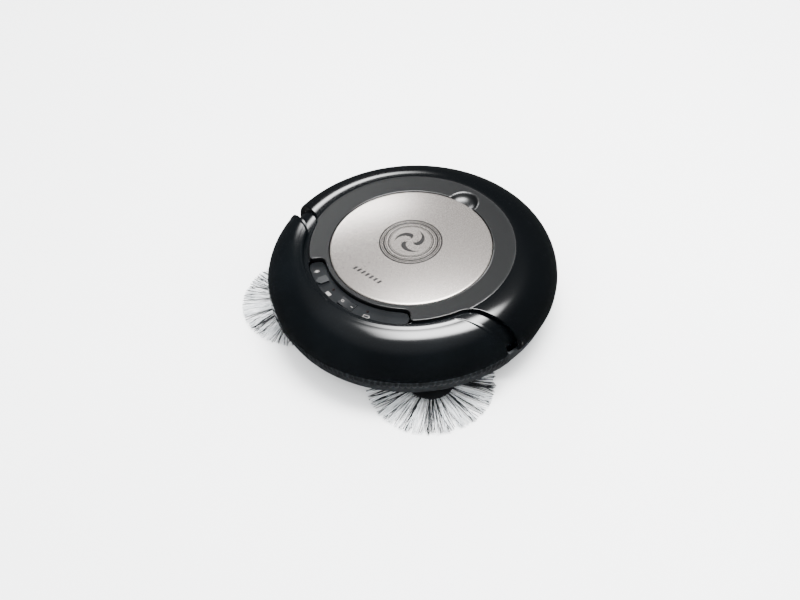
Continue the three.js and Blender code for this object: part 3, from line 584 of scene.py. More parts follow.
def cover_edge():
    """The cover's front edge, from the middle of the front to the end of the +X wall, seen from above."""
    end = STRIP_HALF_DEG + 0.4
    slope = math.tan(math.radians(WALL_SLOPE))
    wall = [Vector((x, WALL_AT[1] + (x - WALL_AT[0]) * slope)) for x in (109, 118, 149.2)]
    ring_end = flat(FRONT_RING_R, -23)
    strip = arc(STRIP_IN_R, -90, end - 5.6 - 90)
    inner_corner = bezier(
        flat(STRIP_IN_R, end - 95.6), flat(STRIP_IN_R, end - 90), flat(STRIP_IN_R + 8, end - 90))
    outer_corner = bezier(
        flat(FRONT_RING_R - 4, end - 90), flat(FRONT_RING_R, end - 90), flat(FRONT_RING_R, end - 87.8))
    ring = arc(FRONT_RING_R, end - 87.8, -23)
    sweep = bezier(ring_end, ring_end + Vector((3.9, 9.2)), wall[0], wall[1], steps=20)
    return evenly(strip + inner_corner[1:] + outer_corner + ring[1:] + sweep[1:] + [wall[2]], 0.7)


def bumper_edge():
    """The bumper's rim and right-hand end from the middle of the front, seen from above."""
    slope = math.tan(math.radians(BUMPER_SLOPE))
    line = [Vector((x, BUMPER_AT[1] + (x - BUMPER_AT[0]) * slope)) for x in (103.5, 114, 148.2)]
    corner = bezier(flat(RIM_R, -28.5), line[0], line[1], steps=16)
    return evenly(arc(RIM_R, -90, -28.5) + corner[1:] + [line[2]], 1.1)


class Section:
    """A shell's section as a line in (radius, height), found by radius or by share of its length."""

    def __init__(self, points):
        self.points = np.array(points, float)
        steps = np.hypot(*np.diff(self.points, axis=0).T)
        self.length = np.concatenate([[0], np.cumsum(steps)])
        self.total = self.length[-1]
        self.widest = int(np.argmax(self.points[:, 0]))

    def at(self, length):
        return tuple(np.interp(length, self.length, self.points[:, k]) for k in (0, 1))

    def length_at(self, radius):
        return float(np.interp(radius, self.points[:self.widest + 1, 0], self.length[:self.widest + 1]))

    def normal(self, length, degrees):
        """Outward normal of the turned surface."""
        (r0, z0), (r1, z1) = self.at(max(0, length - 0.4)), self.at(min(self.total, length + 0.4))
        outward = Vector(polar(z0 - z1, degrees, r1 - r0))
        return outward.normalized()


def edge_tail(place, outward, up, radius, depth, steps=4):
    """Points round an edge and down its wall, from a surface point just inside the edge."""
    tail = []
    for k in range(1, steps + 1):
        turn = math.pi / 2 * k / steps
        tail.append(place + outward * radius * math.sin(turn) - up * radius * (1 - math.cos(turn)))
    corner = tail[-1]
    return tail + [corner - up * depth * share for share in (0.1, 0.5, 1.0)]


def mirrored(rows):
    """Rows for x >= 0, from the middle outwards, completed with their mirror images."""
    left = [[(-p[0], p[1], p[2]) for p in row] for row in rows[:0:-1]]
    return left + [[tuple(p) for p in row] for row in rows]


# ------------------------------------------------------------------ shells
LEDGE_R, LEDGE_Z = 77.0, 73.2
COVER_SECTION = Section(
    [(LEDGE_R, LEDGE_Z - 1.9), (LEDGE_R, LEDGE_Z), (OPENING_R, LEDGE_Z), (OPENING_R, 79.4),
     (OPENING_R + 0.15, 79.8),
     (OPENING_R + 0.55, 80.1), (CREASE_R - 1.0, PLATEAU_Z - 0.45), (CREASE_R - 0.5, PLATEAU_Z - 0.3),
     (CREASE_R - 0.1, PLATEAU_Z - 0.08), (CREASE_R + 0.5, PLATEAU_Z)]
    + rounded_side(CREASE_R, PLATEAU_Z, BODY_R, EQUATOR_Z, 60)[4:]
    + [(BODY_R - 0.4, SHELL_BOTTOM_Z)])
SHOULDER_SECTION = Section(
    [(FRONT_RING_R - 1, 72.4), (FRONT_RING_R - 1, 76.6), (FRONT_RING_R - 0.6, STEP_Z)]
    + rounded_side(FRONT_RING_R, STEP_Z, SHOULDER_R, 44, 30) + [(SHOULDER_R, SHELL_BOTTOM_Z)])
BUMPER_SECTION = Section(
    [(111, 77.6), (111, 80.1), (111.3, 80.8), (112, 81.25), (112.9, 81.3), (114, 80.95)]
    + [p for p in rounded_side(CREASE_R, PLATEAU_Z, BODY_R, EQUATOR_Z, 60) if p[0] > 115.4]
    + [(BODY_R, EQUATOR_Z - 0.2)])
NOTCH_AT, NOTCH_Z, NOTCH_SIZE = (0.0, 83.5), PLATEAU_Z + 0.6, (16.0, 16.5, 8.0)


def cover_boundary():
    """The cover's outer boundary from the front's middle to the back's: (section length, angle) each."""
    section = COVER_SECTION
    path = []
    for point in cover_edge():
        radius = point.length
        if radius > 117.5:
            break
        path.append((section.length_at(radius), math.degrees(math.atan2(point.y, point.x))))
    last = path[-1][0]
    for k in range(1, 48):
        length = last + (section.total - last) * k / 47
        path.append((length, line_angle(section.at(length)[0], WALL_AT, WALL_SLOPE)))
    start = path[-1][1]
    back_rows = 90
    path += [(section.total, start + (90 - start) * k / back_rows) for k in range(1, back_rows + 1)]
    return path


def notched(x, y, z):
    """Height after pressing the finger notch into the cover: the bowl is an ellipsoid with a soft lip."""
    reach = ((x - NOTCH_AT[0]) / NOTCH_SIZE[0]) ** 2 + ((y - NOTCH_AT[1]) / NOTCH_SIZE[1]) ** 2
    if reach >= 1 or z < LEDGE_Z + 0.1:
        return z
    bowl = NOTCH_Z - NOTCH_SIZE[2] * math.sqrt(1 - reach)
    top = 80.1 + (math.hypot(x, y) - OPENING_R) * 0.038
    if bowl >= top:
        return z
    return LEDGE_Z + (z - LEDGE_Z) * max(0.0, bowl - LEDGE_Z) / (top - LEDGE_Z)


def cover_shell(shell):
    """The rounded cover with its flat ring, finger notch, lid ledge and swept end walls."""
    section = COVER_SECTION
    boundary = cover_boundary()
    wall_rows = next(i for i, (length, _) in enumerate(boundary) if length >= section.total)
    radius = shell.edge_round / MM
    fixed = [0.0, 1.9, 5.2, 8.3, 8.8, 11.2, 13.6, 14.8, 15.0, 15.25, 15.6, 15.9]
    spread = 62
    inner_end = 12.0
    travelled = np.concatenate([[0], np.cumsum([
        math.hypot(b[0] - a[0], math.radians(b[1] - a[1]) * section.at(b[0])[0])
        for a, b in zip(boundary, boundary[1:])])])
    strip_end = next(i for i, (_, degrees) in enumerate(boundary) if degrees > STRIP_HALF_DEG - 95)
    lead = (STRIP_HALF_DEG + 3) / (90 + inner_end)
    rows = []
    for i, (length, degrees) in enumerate(boundary):
        front = min(1.0, travelled[i] / travelled[wall_rows])
        front = float(np.interp(front, (0, travelled[strip_end] / travelled[wall_rows], 1), (0, lead, 1)))
        behind = max(0.0, (i - wall_rows) / (len(boundary) - 1 - wall_rows))
        inner = -90 + (90 + inner_end) * front + (90 - inner_end) * behind
        before, after = boundary[max(i - 1, 0)], boundary[min(i + 1, len(boundary) - 1)]
        reach = section.at(length)[0]
        along = Vector((after[0] - before[0], math.radians(after[1] - before[1]) * reach)).normalized()
        inset = radius if i <= wall_rows else 0.0
        edge_u = length - inset * along.y
        edge_deg = degrees + math.degrees(inset * along.x / reach)
        row = []
        for u in fixed:
            share = (u / edge_u) ** 2
            row.append((u, inner + (edge_deg - inner) * share))
        first = fixed[-1]
        for k in range(1, spread + 1):
            u = first + (edge_u - first) * k / spread
            row.append((u, inner + (edge_deg - inner) * (u / edge_u) ** 2))
        points = []
        for u, angle in row:
            r, z = section.at(u)
            x, y, _ = polar(r, angle, z)
            points.append(Vector((x, y, notched(x, y, z))))
        normal = section.normal(edge_u, edge_deg)
        around = Vector(polar(1, edge_deg + 90, 0))
        down = around.cross(normal)
        outward = down * along.y - around * along.x
        if i <= wall_rows:
            depth = 4.6 + 4.0 * min(1.0, max(0.0, (reach - 106) / 12))
            points += edge_tail(points[-1], outward, normal, radius, depth)
        else:
            points += [points[-1] - Vector((0, 0, 0.02 * k)) for k in range(1, 8)]
        rows.append(points)
    grid = mirrored(rows)[:-1]
    points = [p for row in grid for p in row]
    faces = grid_faces(len(grid), len(grid[0]), loop_rows=True)
    make_piece("cover_shell", points, faces, "base", "cover_abs", ["top_cover"], shell.wall)


def shoulder_skin(shell):
    """The lower step between the flat ring and the bumper, with the wall of the strip's pocket."""
    section = SHOULDER_SECTION
    rows = []
    half_rows = 260
    for i in range(half_rows + 1):
        degrees = -90 + 86 * i / half_rows
        past = min(1.0, max(0.0, (abs(degrees + 90) - STRIP_HALF_DEG + 2.4) / 3))
        pocket = math.sqrt(1 - past * past)
        push = (STRIP_OUT_R - section.points[0][0]) * pocket
        row = []
        for r, z in section.points:
            shift = push * max(0.0, 1 - (r - section.points[0][0]) / 6)
            row.append(polar(r + shift, degrees, z))
        rows.append(row)
    grid = mirrored(rows)
    points = [p for row in grid for p in row]
    make_piece("shoulder_skin", points, grid_faces(len(grid), len(grid[0])), "base",
               "gloss_abs", ["shoulder_housing"], shell.wall)


LIP_FROM_R, LIP_FROM_Z = 113, 45                     # where the lip at the bumper's ends begins


def end_angle(edge, radius):
    """Angle at which the end of the bumper meets this radius."""
    radii = [p.length for p in edge]
    start = max(i for i, r in enumerate(radii) if r <= RIM_R + 0.05)
    angles = [math.degrees(math.atan2(p.y, p.x)) for p in edge]
    return float(np.interp(radius, radii[start:], angles[start:]))


def bumper_shell(shell):
    """The sliding bumper: a raised rim line, a rounded front and rounded ends."""
    section = BUMPER_SECTION
    edge = bumper_edge()
    lengths = list(section.length[:6]) + list(np.linspace(section.length[6], section.total, 66))
    lip_steps = (5.0, 4.2, 3.9, 3.6, 3.2, 2.4, 1.2, 0.0)
    half_rows = 104
    rows = []
    for i in range(half_rows + len(lip_steps) - 1):
        share = min(1.0, i / (half_rows - 1))
        from_end = lip_steps[max(0, i - half_rows + 1)]
        lip = 0.45 * min(1.0, max(0.0, (4.2 - from_end) / 0.9))
        row = []
        for u in lengths:
            r, z = section.at(u)
            end = end_angle(edge, min(r, BODY_R - 0.05)) - math.degrees(from_end / r)
            degrees = -90 + (90 + end) * share
            point = Vector(polar(r, degrees, z))
            if r > LIP_FROM_R and z > LIP_FROM_Z:
                point += section.normal(u, degrees) * lip * min(1.0, (r - LIP_FROM_R) / 2)
            row.append(tuple(point))
        rows.append(row)
    grid = mirrored(rows)
    points = [p for row in grid for p in row]
    piece = make_piece("bumper_shell", points, grid_faces(len(grid), len(grid[0])), "bumper",
                       "gloss_abs", ["front_bumper"], 2.2 * MM)
    add_bevel(piece, shell.edge_round * 0.8)


def add_bevel(piece, width, segments=3, angle=50):
    """Rounds the piece's sharp edges."""
    bevel = piece.modifiers.new("edges", "BEVEL")
    bevel.width = width
    bevel.segments = segments
    bevel.limit_method = "ANGLE"
    bevel.angle_limit = math.radians(angle)
    bevel.harden_normals = True


def trim_strip(trim):
    """The soft trim under the bumper, with a row of round beads and a plain band below them."""
    top = TRIM_TOP_Z
    section = Section([
        (147.9, top), (149.7, top), (150.0, top - 0.3), (149.9, 39), (149.8, 36.5), (149.5, 34),
        (148.9, 31.5), (147.6, 28.3), (146.3, 24.5), (145.2, 21.4), (144.9, 21.0), (143.0, 21.0)])
    lengths = np.linspace(0, section.total, 54)
    pitch = trim.bead_pitch / MM
    bead_z, bead_half, bead_tall, bead_height = 36.3, 2.55, 3.7, 1.15
    end = line_angle(150, BUMPER_AT, BUMPER_SLOPE)
    beads = round(math.radians(90 + end) * 150 / pitch)
    per_bead = 12
    count = beads * per_bead
    rows = []
    for i in range(count + 1):
        share = i / count
        row = []
        for u in lengths:
            r, z = section.at(u)
            degrees = -90 + (90 + line_angle(r, BUMPER_AT, BUMPER_SLOPE)) * share
            across = (share * beads) % 1 - 0.5
            away = math.hypot(across * pitch / bead_half, (z - bead_z) / bead_tall)
            if away < 1 and r > 148:
                r += bead_height * math.sqrt(1 - away * away) ** 0.8
            row.append(polar(r, degrees, z))
        rows.append(row)
    grid = mirrored(rows)
    points = [p for row in grid for p in row]
    piece = make_piece("trim_strip", points, grid_faces(len(grid), len(grid[0])), "bumper",
                       ["trim_rubber", "bead_rubber"], ["bumper_trim"], 1.6 * MM)
    for face in piece.data.polygons:
        reach = math.hypot(face.center.x, face.center.y) / MM
        face.material_index = int(abs(face.center.z / MM - bead_z) < bead_tall and reach > 150.1)


# ------------------------------------------------------------------ lid
def dome_z(radius):
    rim = LID_R - 0.8
    return LID_EDGE_Z + (LID_TOP_Z - LID_EDGE_Z) * (1 - (radius / rim) ** 2)


def lid_shell():
    """The domed lid with its rounded rim, and the rib under it that stops short at the hinge."""
    rim = LID_R - 0.8
    outside = [(0.01 + rim * k / 40, dome_z(rim * k / 40)) for k in range(40)]
    edge = [(rim - 0.3, dome_z(rim - 0.3)), (rim + 0.15, LID_EDGE_Z - 0.12), (rim + 0.55, LID_EDGE_Z - 0.4),
            (rim + 0.75, LID_EDGE_Z - 0.8), (LID_R, 79.0), (LID_R, 78.1), (LID_R - 0.3, 77.8), (80, 77.6)]
    rib = [(79.8, 77.4), (79.6, 73.75), (79.3, 73.55), (77.9, 73.55), (77.6, 73.75), (77.6, 77.8)]
    inside = [(76.8 * k / 16 + 0.01, dome_z(76.8 * k / 16) - 2.2) for k in range(16, -1, -1)]
    section = outside + edge + rib + inside
    facets = 240
    points = []
    for i in range(facets):
        degrees = 360 * i / facets
        for r, z in section:
            x, y, _ = polar(r, degrees, z)
            near_hinge = y < 0 and abs(x) < 24 and z < 77.5 and r < 80
            points.append((x, y, 77.5 + (z - 73.55) * 0.02 if near_hinge else z))
    faces = grid_faces(facets, len(section), loop_rows=True)
    count = len(section)
    faces.append(tuple(i * count for i in range(facets)))
    faces.append(tuple(i * count + count - 1 for i in range(facets)))
    make_piece("lid_shell", points, faces, "lid", "silver_paint", ["lid_disc"])


def lid_knuckles():
    """Three barrels under the lid's front edge that turn on the pin."""
    low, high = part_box("lid_hinge_pin")
    centre_y, centre_z = (low.y + high.y) / 2 / MM, (low.z + high.z) / 2 / MM
    parts = []
    for x0, x1 in ((-20, -14.2), (-5.8, 5.8), (14.2, 20)):
        section = [(1.0, x0), (1.5, x0), (1.75, x0 + 0.3), (1.75, x1 - 0.3), (1.5, x1), (1.0, x1)]
        ring, faces = turned(section + section[:1], 28)
        placed = []
        for across, up, x in ring:
            y = across + centre_y
            placed.append((x, y, min(up + centre_z, dome_z(math.hypot(x, y)) - 0.6)))
        parts.append((placed, faces))
    points, faces = combine(parts)
    make_piece("lid_knuckles", points, faces, "lid", "matt_black_abs")


def printed(name, outlines, lift, body, ink):
    """Printed shapes, each a 0.06 mm film on the surface whose height lift(x, y) gives."""
    parts = []
    for outline in outlines:
        count = len(outline)
        low = [(x, y, lift(x, y) - 0.03) for x, y in outline]
        high = [(x, y, lift(x, y) + 0.06) for x, y in outline]
        sides = [(k, (k + 1) % count, count + (k + 1) % count, count + k) for k in range(count)]
        parts.append((low + high, sides + [tuple(range(count, 2 * count)), tuple(reversed(range(count)))]))
    points, faces = combine(parts)
    piece = make_piece(name, points, faces, body, ink)
    piece.data.polygons.foreach_set("use_smooth", [False] * len(piece.data.polygons))
    return piece


def ring_band(radius, width, lift, facets=160):
    """A printed ring as a closed band."""
    section = [(radius - width / 2, -0.03), (radius + width / 2, -0.03), (radius + width / 2, 0.06),
               (radius - width / 2, 0.06)]
    points, faces = turned(section + section[:1], facets)
    return [(x, y, z + lift(x, y)) for x, y, z in points], faces


def lid_print(lid):
    """Concentric rings round a plain three-bladed whirl, and a row of slanted dashes near the hinge."""
    def lift(x, y):
        return dome_z(math.hypot(x, y))

    outer = lid.ring_radius / MM
    lines = ((1, 1.7), (0.935, 0.9), (0.87, 1.8), (0.805, 0.7), (0.725, 1.1), (0.675, 0.6))
    rings = [ring_band(outer * share, width, lift) for share, width in lines]
    steps = 14
    blades = []
    for blade in range(3):
        edges = []
        for k in range(steps + 1):
            t = k / steps
            spread = 46 * math.sin(math.pi * t) ** 0.8 + 3
            edges.append((3.5 + 13.5 * t, 100 * t + 120 * blade, spread))
        for (r0, a0, w0), (r1, a1, w1) in zip(edges, edges[1:]):
            quad = ((r0, a0 - w0), (r1, a1 - w1), (r1, a1), (r0, a0))
            blades.append([polar(r, degrees, 0)[:2] for r, degrees in quad])
    dashes = []
    dash_width, dash_pitch, dash_slant = 2.6, 5.4, 1.6
    dash_y, dash_tall = -63.4, 4.6
    for k in range(7):
        x = -23 + dash_pitch * k
        foot = [(x, dash_y), (x + dash_width, dash_y)]
        dashes.append(foot + [(px + dash_slant, py + dash_tall) for px, py in reversed(foot)])
    points, faces = combine(rings)
    make_piece("lid_rings", points, faces, "lid", "lid_ink")
    printed("lid_whirl", blades, lift, "lid", "lid_ink")
    printed("lid_dashes", dashes, lift, "lid", "lid_ink")


# ------------------------------------------------------------------ control strip
def strip_icon_shapes():
    """Outlines in a local frame (x runs round the machine, y outwards): (angle, radius, outline) each."""
    plug_body = round_corners(
        [(-1.5, -1.0), (1.5, -1.0), (1.5, 1.4), (0.9, 2.0), (-0.9, 2.0), (-1.5, 1.4)], 0.4)
    prongs = [[(s * 0.9 - 0.25, -2.4), (s * 0.9 + 0.25, -2.4), (s * 0.9 + 0.25, -1.1), (s * 0.9 - 0.25, -1.1)]
              for s in (-1, 1)]
    lead = [(-0.25, 2.1), (0.25, 2.1), (0.25, 3.6), (-0.25, 3.6)]
    cell = round_corners([(-3.1, -1.7), (3.1, -1.7), (3.1, 1.7), (-3.1, 1.7)], 0.4)
    shapes = [(238, 99.4, outline) for outline in [plug_body, lead] + prongs]
    shapes.append((257.4, 102.4, cell))
    half, tall, line = 3.1, 1.7, 0.45
    frame_lines = [
        [(-half, -tall), (half, -tall), (half, -tall + line), (-half, -tall + line)],
        [(-half, tall - line), (half, tall - line), (half, tall), (-half, tall)],
        [(-half, -tall + line), (-half + line, -tall + line), (-half + line, tall - line),
         (-half, tall - line)],
        [(half - line, -tall + line), (half, -tall + line), (half, tall - line), (half - line, tall - line)],
        [(half, -0.7), (half + 0.7, -0.7), (half + 0.7, 0.7), (half, 0.7)],
    ]
    shapes += [(285.5, 103.0, outline) for outline in frame_lines]
    return shapes


def strip_icons():
    """Printed symbols of the strip: a plug, a charge bar and a battery outline."""
    outlines = []
    for degrees, radius, outline in strip_icon_shapes():
        placed = []
        for x, y in outline:
            place = Vector(polar(radius + y, degrees, 0)) + Vector(polar(x, degrees + 90, 0))
            placed.append((place.x, place.y))
        outlines.append(placed)
    printed("strip_icons", outlines, lambda x, y: STRIP_Z, "base", "icon_ink")


def rocker_marks():
    """The rocker's round and straight marks, on its two sloping faces."""
    axis = math.radians(ROCKER_DEG)
    seat = Vector(polar(ROCKER_R, ROCKER_DEG, ROCKER_Z))
    along = Vector((-math.sin(axis), math.cos(axis), 0))
    outward = Vector((math.cos(axis), math.sin(axis), 0))
    tilt = math.radians(ROCKER_TILT)

    def on_face(x, y):
        height = 1.9 + (0.3 * abs(x) / 4.5 if abs(x) < 4.5 else 0.3 + 0.4 * (abs(x) - 4.5) / 4.3)
        turned_x = x * math.cos(tilt) + height * math.sin(tilt)
        turned_z = -x * math.sin(tilt) + height * math.cos(tilt)
        return seat + along * turned_x + outward * y + Vector((0, 0, turned_z))

    parts = []
    for x0, x1, y0, y1 in ((4.6, 7.4, -0.3, 0.3),):
        corners = [(x0, y0), (x1, y0), (x1, y1), (x0, y1)]
        low = [on_face(x, y) - Vector((0, 0, 0.03)) for x, y in corners]
        high = [p + Vector((0, 0, 0.09)) for p in low]
        faces = [(k, (k + 1) % 4, 4 + (k + 1) % 4, 4 + k) for k in range(4)]
        parts.append((low + high, faces + [(4, 5, 6, 7), (3, 2, 1, 0)]))
    ring_points, steps = [], 24
    for k in range(steps):
        turn = 2 * math.pi * k / steps
        for radius, lift in ((1.0, -0.03), (1.5, -0.03), (1.5, 0.06), (1.0, 0.06)):
            spot = on_face(-6 + radius * math.cos(turn), radius * math.sin(turn))
            ring_points.append(spot + Vector((0, 0, lift)))
    parts.append((ring_points, grid_faces(steps, 4, loop_rows=True, loop_columns=True)))
    points, faces = combine(parts)
    make_piece("rocker_marks", [tuple(p) for p in points], faces, "rocker", "icon_ink")


# ------------------------------------------------------------------ brushes and wheels
def brush_filaments(side, brush):
    """Tufts of black and clear filaments that fan out from the hub and droop to the floor."""
    low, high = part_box("brush_bristles_" + side)
    centre = Vector(((low.x + high.x) / 2 / MM, (low.y + high.y) / 2 / MM, 0))
    reach = (high.x - low.x) / 2 / MM
    draw = random.Random(11 if side == "left" else 12)
    points, faces, tints = [], [], []
    root_r, segments, sides = 24.4, 5, 3
    for tuft in range(brush.tufts):
        base = 360 * (tuft + draw.uniform(-0.2, 0.2)) / brush.tufts
        tint = draw.choice((0, 1))
        for _ in range(brush.filaments):
            spread = draw.gauss(0, 1)
            length = reach - root_r - abs(draw.gauss(0, 2.2)) - 0.3
            start = base + spread * 0.7
            lean = spread * 3.4 + draw.gauss(0, 1.6)
            droop = draw.uniform(2.6, 4.0)
            height = 6.3 + draw.uniform(-0.5, 0.5)
            wobble = draw.uniform(-0.6, 0.6)
            first = len(points)
            for k in range(segments + 1):
                t = k / segments
                r = root_r + length * t
                degrees = start + lean * t ** 1.6 + wobble * math.sin(3 * t)
                z = height - droop * t ** 1.3
                thick = brush.thickness / MM / 2 * (1 - 0.25 * t)
                for m in range(sides):
                    turn = 2 * math.pi * m / sides
                    place = Vector(polar(r, degrees, z)) + centre
                    place += Vector(polar(1, degrees + 90, 0)) * thick * math.cos(turn)
                    place += Vector((0, 0, 1)) * thick * math.sin(turn)
                    points.append(tuple(place))
            for k in range(segments):
                for m in range(sides):
                    n = (m + 1) % sides
                    a, b = first + k * sides, first + (k + 1) * sides
                    faces.append((a + m, a + n, b + n, b + m))
            faces.append(tuple(first + m for m in reversed(range(sides))))
            faces.append(tuple(first + segments * sides + m for m in range(sides)))
            tints += [tint if draw.random() > 0.18 else 1 - tint] * (segments * sides + 2)
    piece = make_piece("brush_filaments_" + side, points, faces, "brush_" + side,
                       ["black_nylon", "clear_nylon"], ["brush_bristles_" + side])
    for face, tint in zip(piece.data.polygons, tints):
        face.material_index = tint


def tyre(side):
    """The driven wheel's tyre with slanted tread blocks."""
    low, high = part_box("wheel_tyre_" + side)
    centre_y, centre_z = (low.y + high.y) / 2 / MM, (low.z + high.z) / 2 / MM
    radius = (high.z - low.z) / 2 / MM
    x_mid, half = (low.x + high.x) / 2 / MM, (high.x - low.x) / 2 / MM
    blocks, per_block = 30, 8
    across = 14
    seat = radius - 6.9
    points = []
    for i in range(blocks * per_block):
        turn = 2 * math.pi * i / (blocks * per_block)
        line = [(seat, -half), (radius - 1.6, -half)]
        for k in range(across + 1):
            offset = -half + 0.4 + (2 * half - 0.8) * k / across
            phase = (i / per_block + abs(offset) / half * 0.8) % 1
            groove = 1.1 if phase < 0.26 or abs(offset) < 0.5 else 0.0
            shoulder = 0.9 * max(0.0, abs(offset) / half - 0.8) / 0.2
            line.append((radius - groove - shoulder, offset))
        line += [(radius - 1.6, half), (seat, half)]
        for r, offset in line:
            points.append((x_mid + offset, centre_y + r * math.cos(turn), centre_z + r * math.sin(turn)))
    faces = grid_faces(blocks * per_block, across + 5, loop_rows=True, loop_columns=True)
    make_piece("tread_" + side, points, faces, "wheel_" + side, "tread_rubber",
               ["wheel_tyre_" + side])


# ------------------------------------------------------------------ CAD nodes: finish and edge radius, mm
NODE_FINISHES = {
    "lid_hinge_pin": ("plated_steel", 0.15),
    "inner_deck": ("matt_black_abs", 0.4),
    "dust_bin": ("smoked_polycarbonate", 0.4),
    "filter_frame": ("matt_black_abs", 0.4),
    "filter_pleats": ("pleated_paper", 0.15),
    "fan_housing": ("matt_black_abs", 0.5),
    "fan_impeller": ("satin_abs", 0.2),
    "fan_motor": ("plated_steel", 0.4),
    "suction_duct": ("matt_black_abs", 0.5),
    "squeegee_blade": ("tread_rubber", 0.2),
    "control_panel": ("strip_abs", 0),
    "jack_socket": ("matt_black_abs", 0.2),
    "jack_flap": ("bead_rubber", 0),
    "power_rocker": ("strip_abs", 0),
    "charge_lamp": ("lens_acrylic", 0),
    "battery_lamp": ("lens_acrylic", 0),
    "main_board": ("solder_mask", 0.2),
    "battery_pack": ("shrink_sleeve", 0.4),
    "battery_door": ("textured_abs", 0.4),
    "battery_door_screw": ("plated_steel", 0.1),
    "base_chassis": ("textured_abs", 0.6),
    "caster_socket": ("textured_abs", 0.5),
    "caster_fork": ("matt_black_abs", 0.4),
    "caster_wheel": ("tread_rubber", 0.4),
    "caster_axle": ("plated_steel", 0.15),
}
NODE_FINISHES.update({"cliff_sensor_" + place: ("strip_abs", 0.3) for place in ("left", "right", "rear")})
NODE_FINISHES.update({"base_screw_" + place: ("plated_steel", 0.15)
                      for place in ("front_left", "front_right", "rear_left", "rear_right")})
for _side in SIDES:
    NODE_FINISHES.update({
        "wheel_well_" + _side: ("textured_abs", 0.4), "wheel_arm_" + _side: ("matt_black_abs", 0.5),
        "wheel_hub_" + _side: ("satin_abs", 0.4), "suspension_pin_" + _side: ("plated_steel", 0.15),
        "suspension_spring_" + _side: ("plated_steel", 0.0),
        "bumper_switch_" + _side: ("matt_black_abs", 0.3),
        "brush_hub_" + _side: ("matt_black_abs", 0.35), "brush_screw_" + _side: ("plated_steel", 0.1),
        "brush_motor_" + _side: ("matt_black_abs", 0.5)})


# ------------------------------------------------------------------ stage
def floor():
    """A wide pale floor."""
    half = 6.0
    mesh = bpy.data.meshes.new("floor")
    corners = [(-half, -half, 0), (half, -half, 0), (half, half, 0), (-half, half, 0)]
    mesh.from_pydata(corners, [], [(0, 1, 2, 3)])
    mesh.materials.append(finish_of("studio_floor"))
    piece = bpy.data.objects.new("floor", mesh)
    piece.visible_glossy = False
    bpy.context.scene.collection.objects.link(piece)


def toward(turn, elevation):
    """Unit vector at this angle to the left of straight away from the camera, and this elevation."""
    azimuth, height = math.radians(VIEW_AZIMUTH + turn), math.radians(elevation)
    level = math.cos(height)
    return Vector((-math.sin(azimuth) * level, math.cos(azimuth) * level, math.sin(height)))


def softbox(name, turn, elevation, distance, size, watts, fade=0.35, turned=None):
    """A rectangular light that faces the machine and fades towards its edges."""
    lamp = bpy.data.lights.new(name, "AREA")
    lamp.shape = "RECTANGLE"
    lamp.size, lamp.size_y = size
    lamp.energy = watts
    lamp.use_nodes = True
    tree = lamp.node_tree
    across = add_node(tree, "ShaderNodeSeparateXYZ", {
        "Vector": add_node(tree, "ShaderNodeNewGeometry").outputs["Parametric"]})
    strength = None
    for axis in ("X", "Y"):
        centred = add_node(tree, "ShaderNodeMath", {0: across.outputs[axis], 1: 0.5}, operation="SUBTRACT")
        away = add_node(tree, "ShaderNodeMath", {0: centred.outputs[0]}, operation="ABSOLUTE")
        ramp = add_node(tree, "ShaderNodeMapRange", {
            "Value": away.outputs[0], "From Min": 0.5 - fade, "From Max": 0.5, "To Min": 1.0, "To Max": 0.0},
            interpolation_type="SMOOTHSTEP")
        result = ramp.outputs["Result"]
        if strength:
            both = add_node(tree, "ShaderNodeMath", {0: result, 1: strength}, operation="MULTIPLY")
            result = both.outputs[0]
        strength = result
    tree.links.new(strength, tree.nodes["Emission"].inputs["Strength"])
    item = bpy.data.objects.new(name, lamp)
    way = toward(turn, elevation)
    item.location = Vector((0, 0, 0.06)) + way * distance
    facing = way if turned is None else toward(turned, elevation)
    item.rotation_euler = facing.to_track_quat("Z", "Y").to_euler()
    bpy.context.scene.collection.objects.link(item)
    return item


def lights(stage):
    """A softbox overhead, a dim panel behind, and a pale surround that gloss sees as dark near the floor."""
    softbox("top_softbox", -64, 78, 1.5, (1.5, 0.8), stage.key_watts, turned=0)
    softbox("back_panel", 12, 26, 2.2, (1.2, 0.5), stage.back_watts)
    world = bpy.data.worlds.new("surround")
    world.use_nodes = True
    tree = world.node_tree
    path = add_node(tree, "ShaderNodeLightPath")
    way = add_node(tree, "ShaderNodeSeparateXYZ", {
        "Vector": add_node(tree, "ShaderNodeTexCoord").outputs["Generated"]})
    overhead = add_node(tree, "ShaderNodeMapRange", {
        "Value": way.outputs["Z"], "From Min": 0.6, "From Max": 1.0,
        "To Min": 0.07, "To Max": stage.surround_in_gloss}, interpolation_type="SMOOTHSTEP")
    level = add_node(tree, "ShaderNodeMapRange", {
        "Value": path.outputs["Is Glossy Ray"],
        "To Min": stage.surround, "To Max": overhead.outputs["Result"]})
    background = tree.nodes["Background"]
    background.inputs["Color"].default_value = linear("#f2f4f5")
    tree.links.new(level.outputs["Result"], background.inputs["Strength"])
    bpy.context.scene.world = world


VIEW_AZIMUTH, VIEW_ELEVATION, VIEW_ROLL = 43.6, 46.4, -3.4
VIEW_RIGHT, VIEW_UP = 0.01225, -0.03842              # how far the machine sits from the middle of the view
VIEW_LENS, VIEW_SENSOR = 54.17, 36.0
AIM = Vector((0, 0, 0.055))


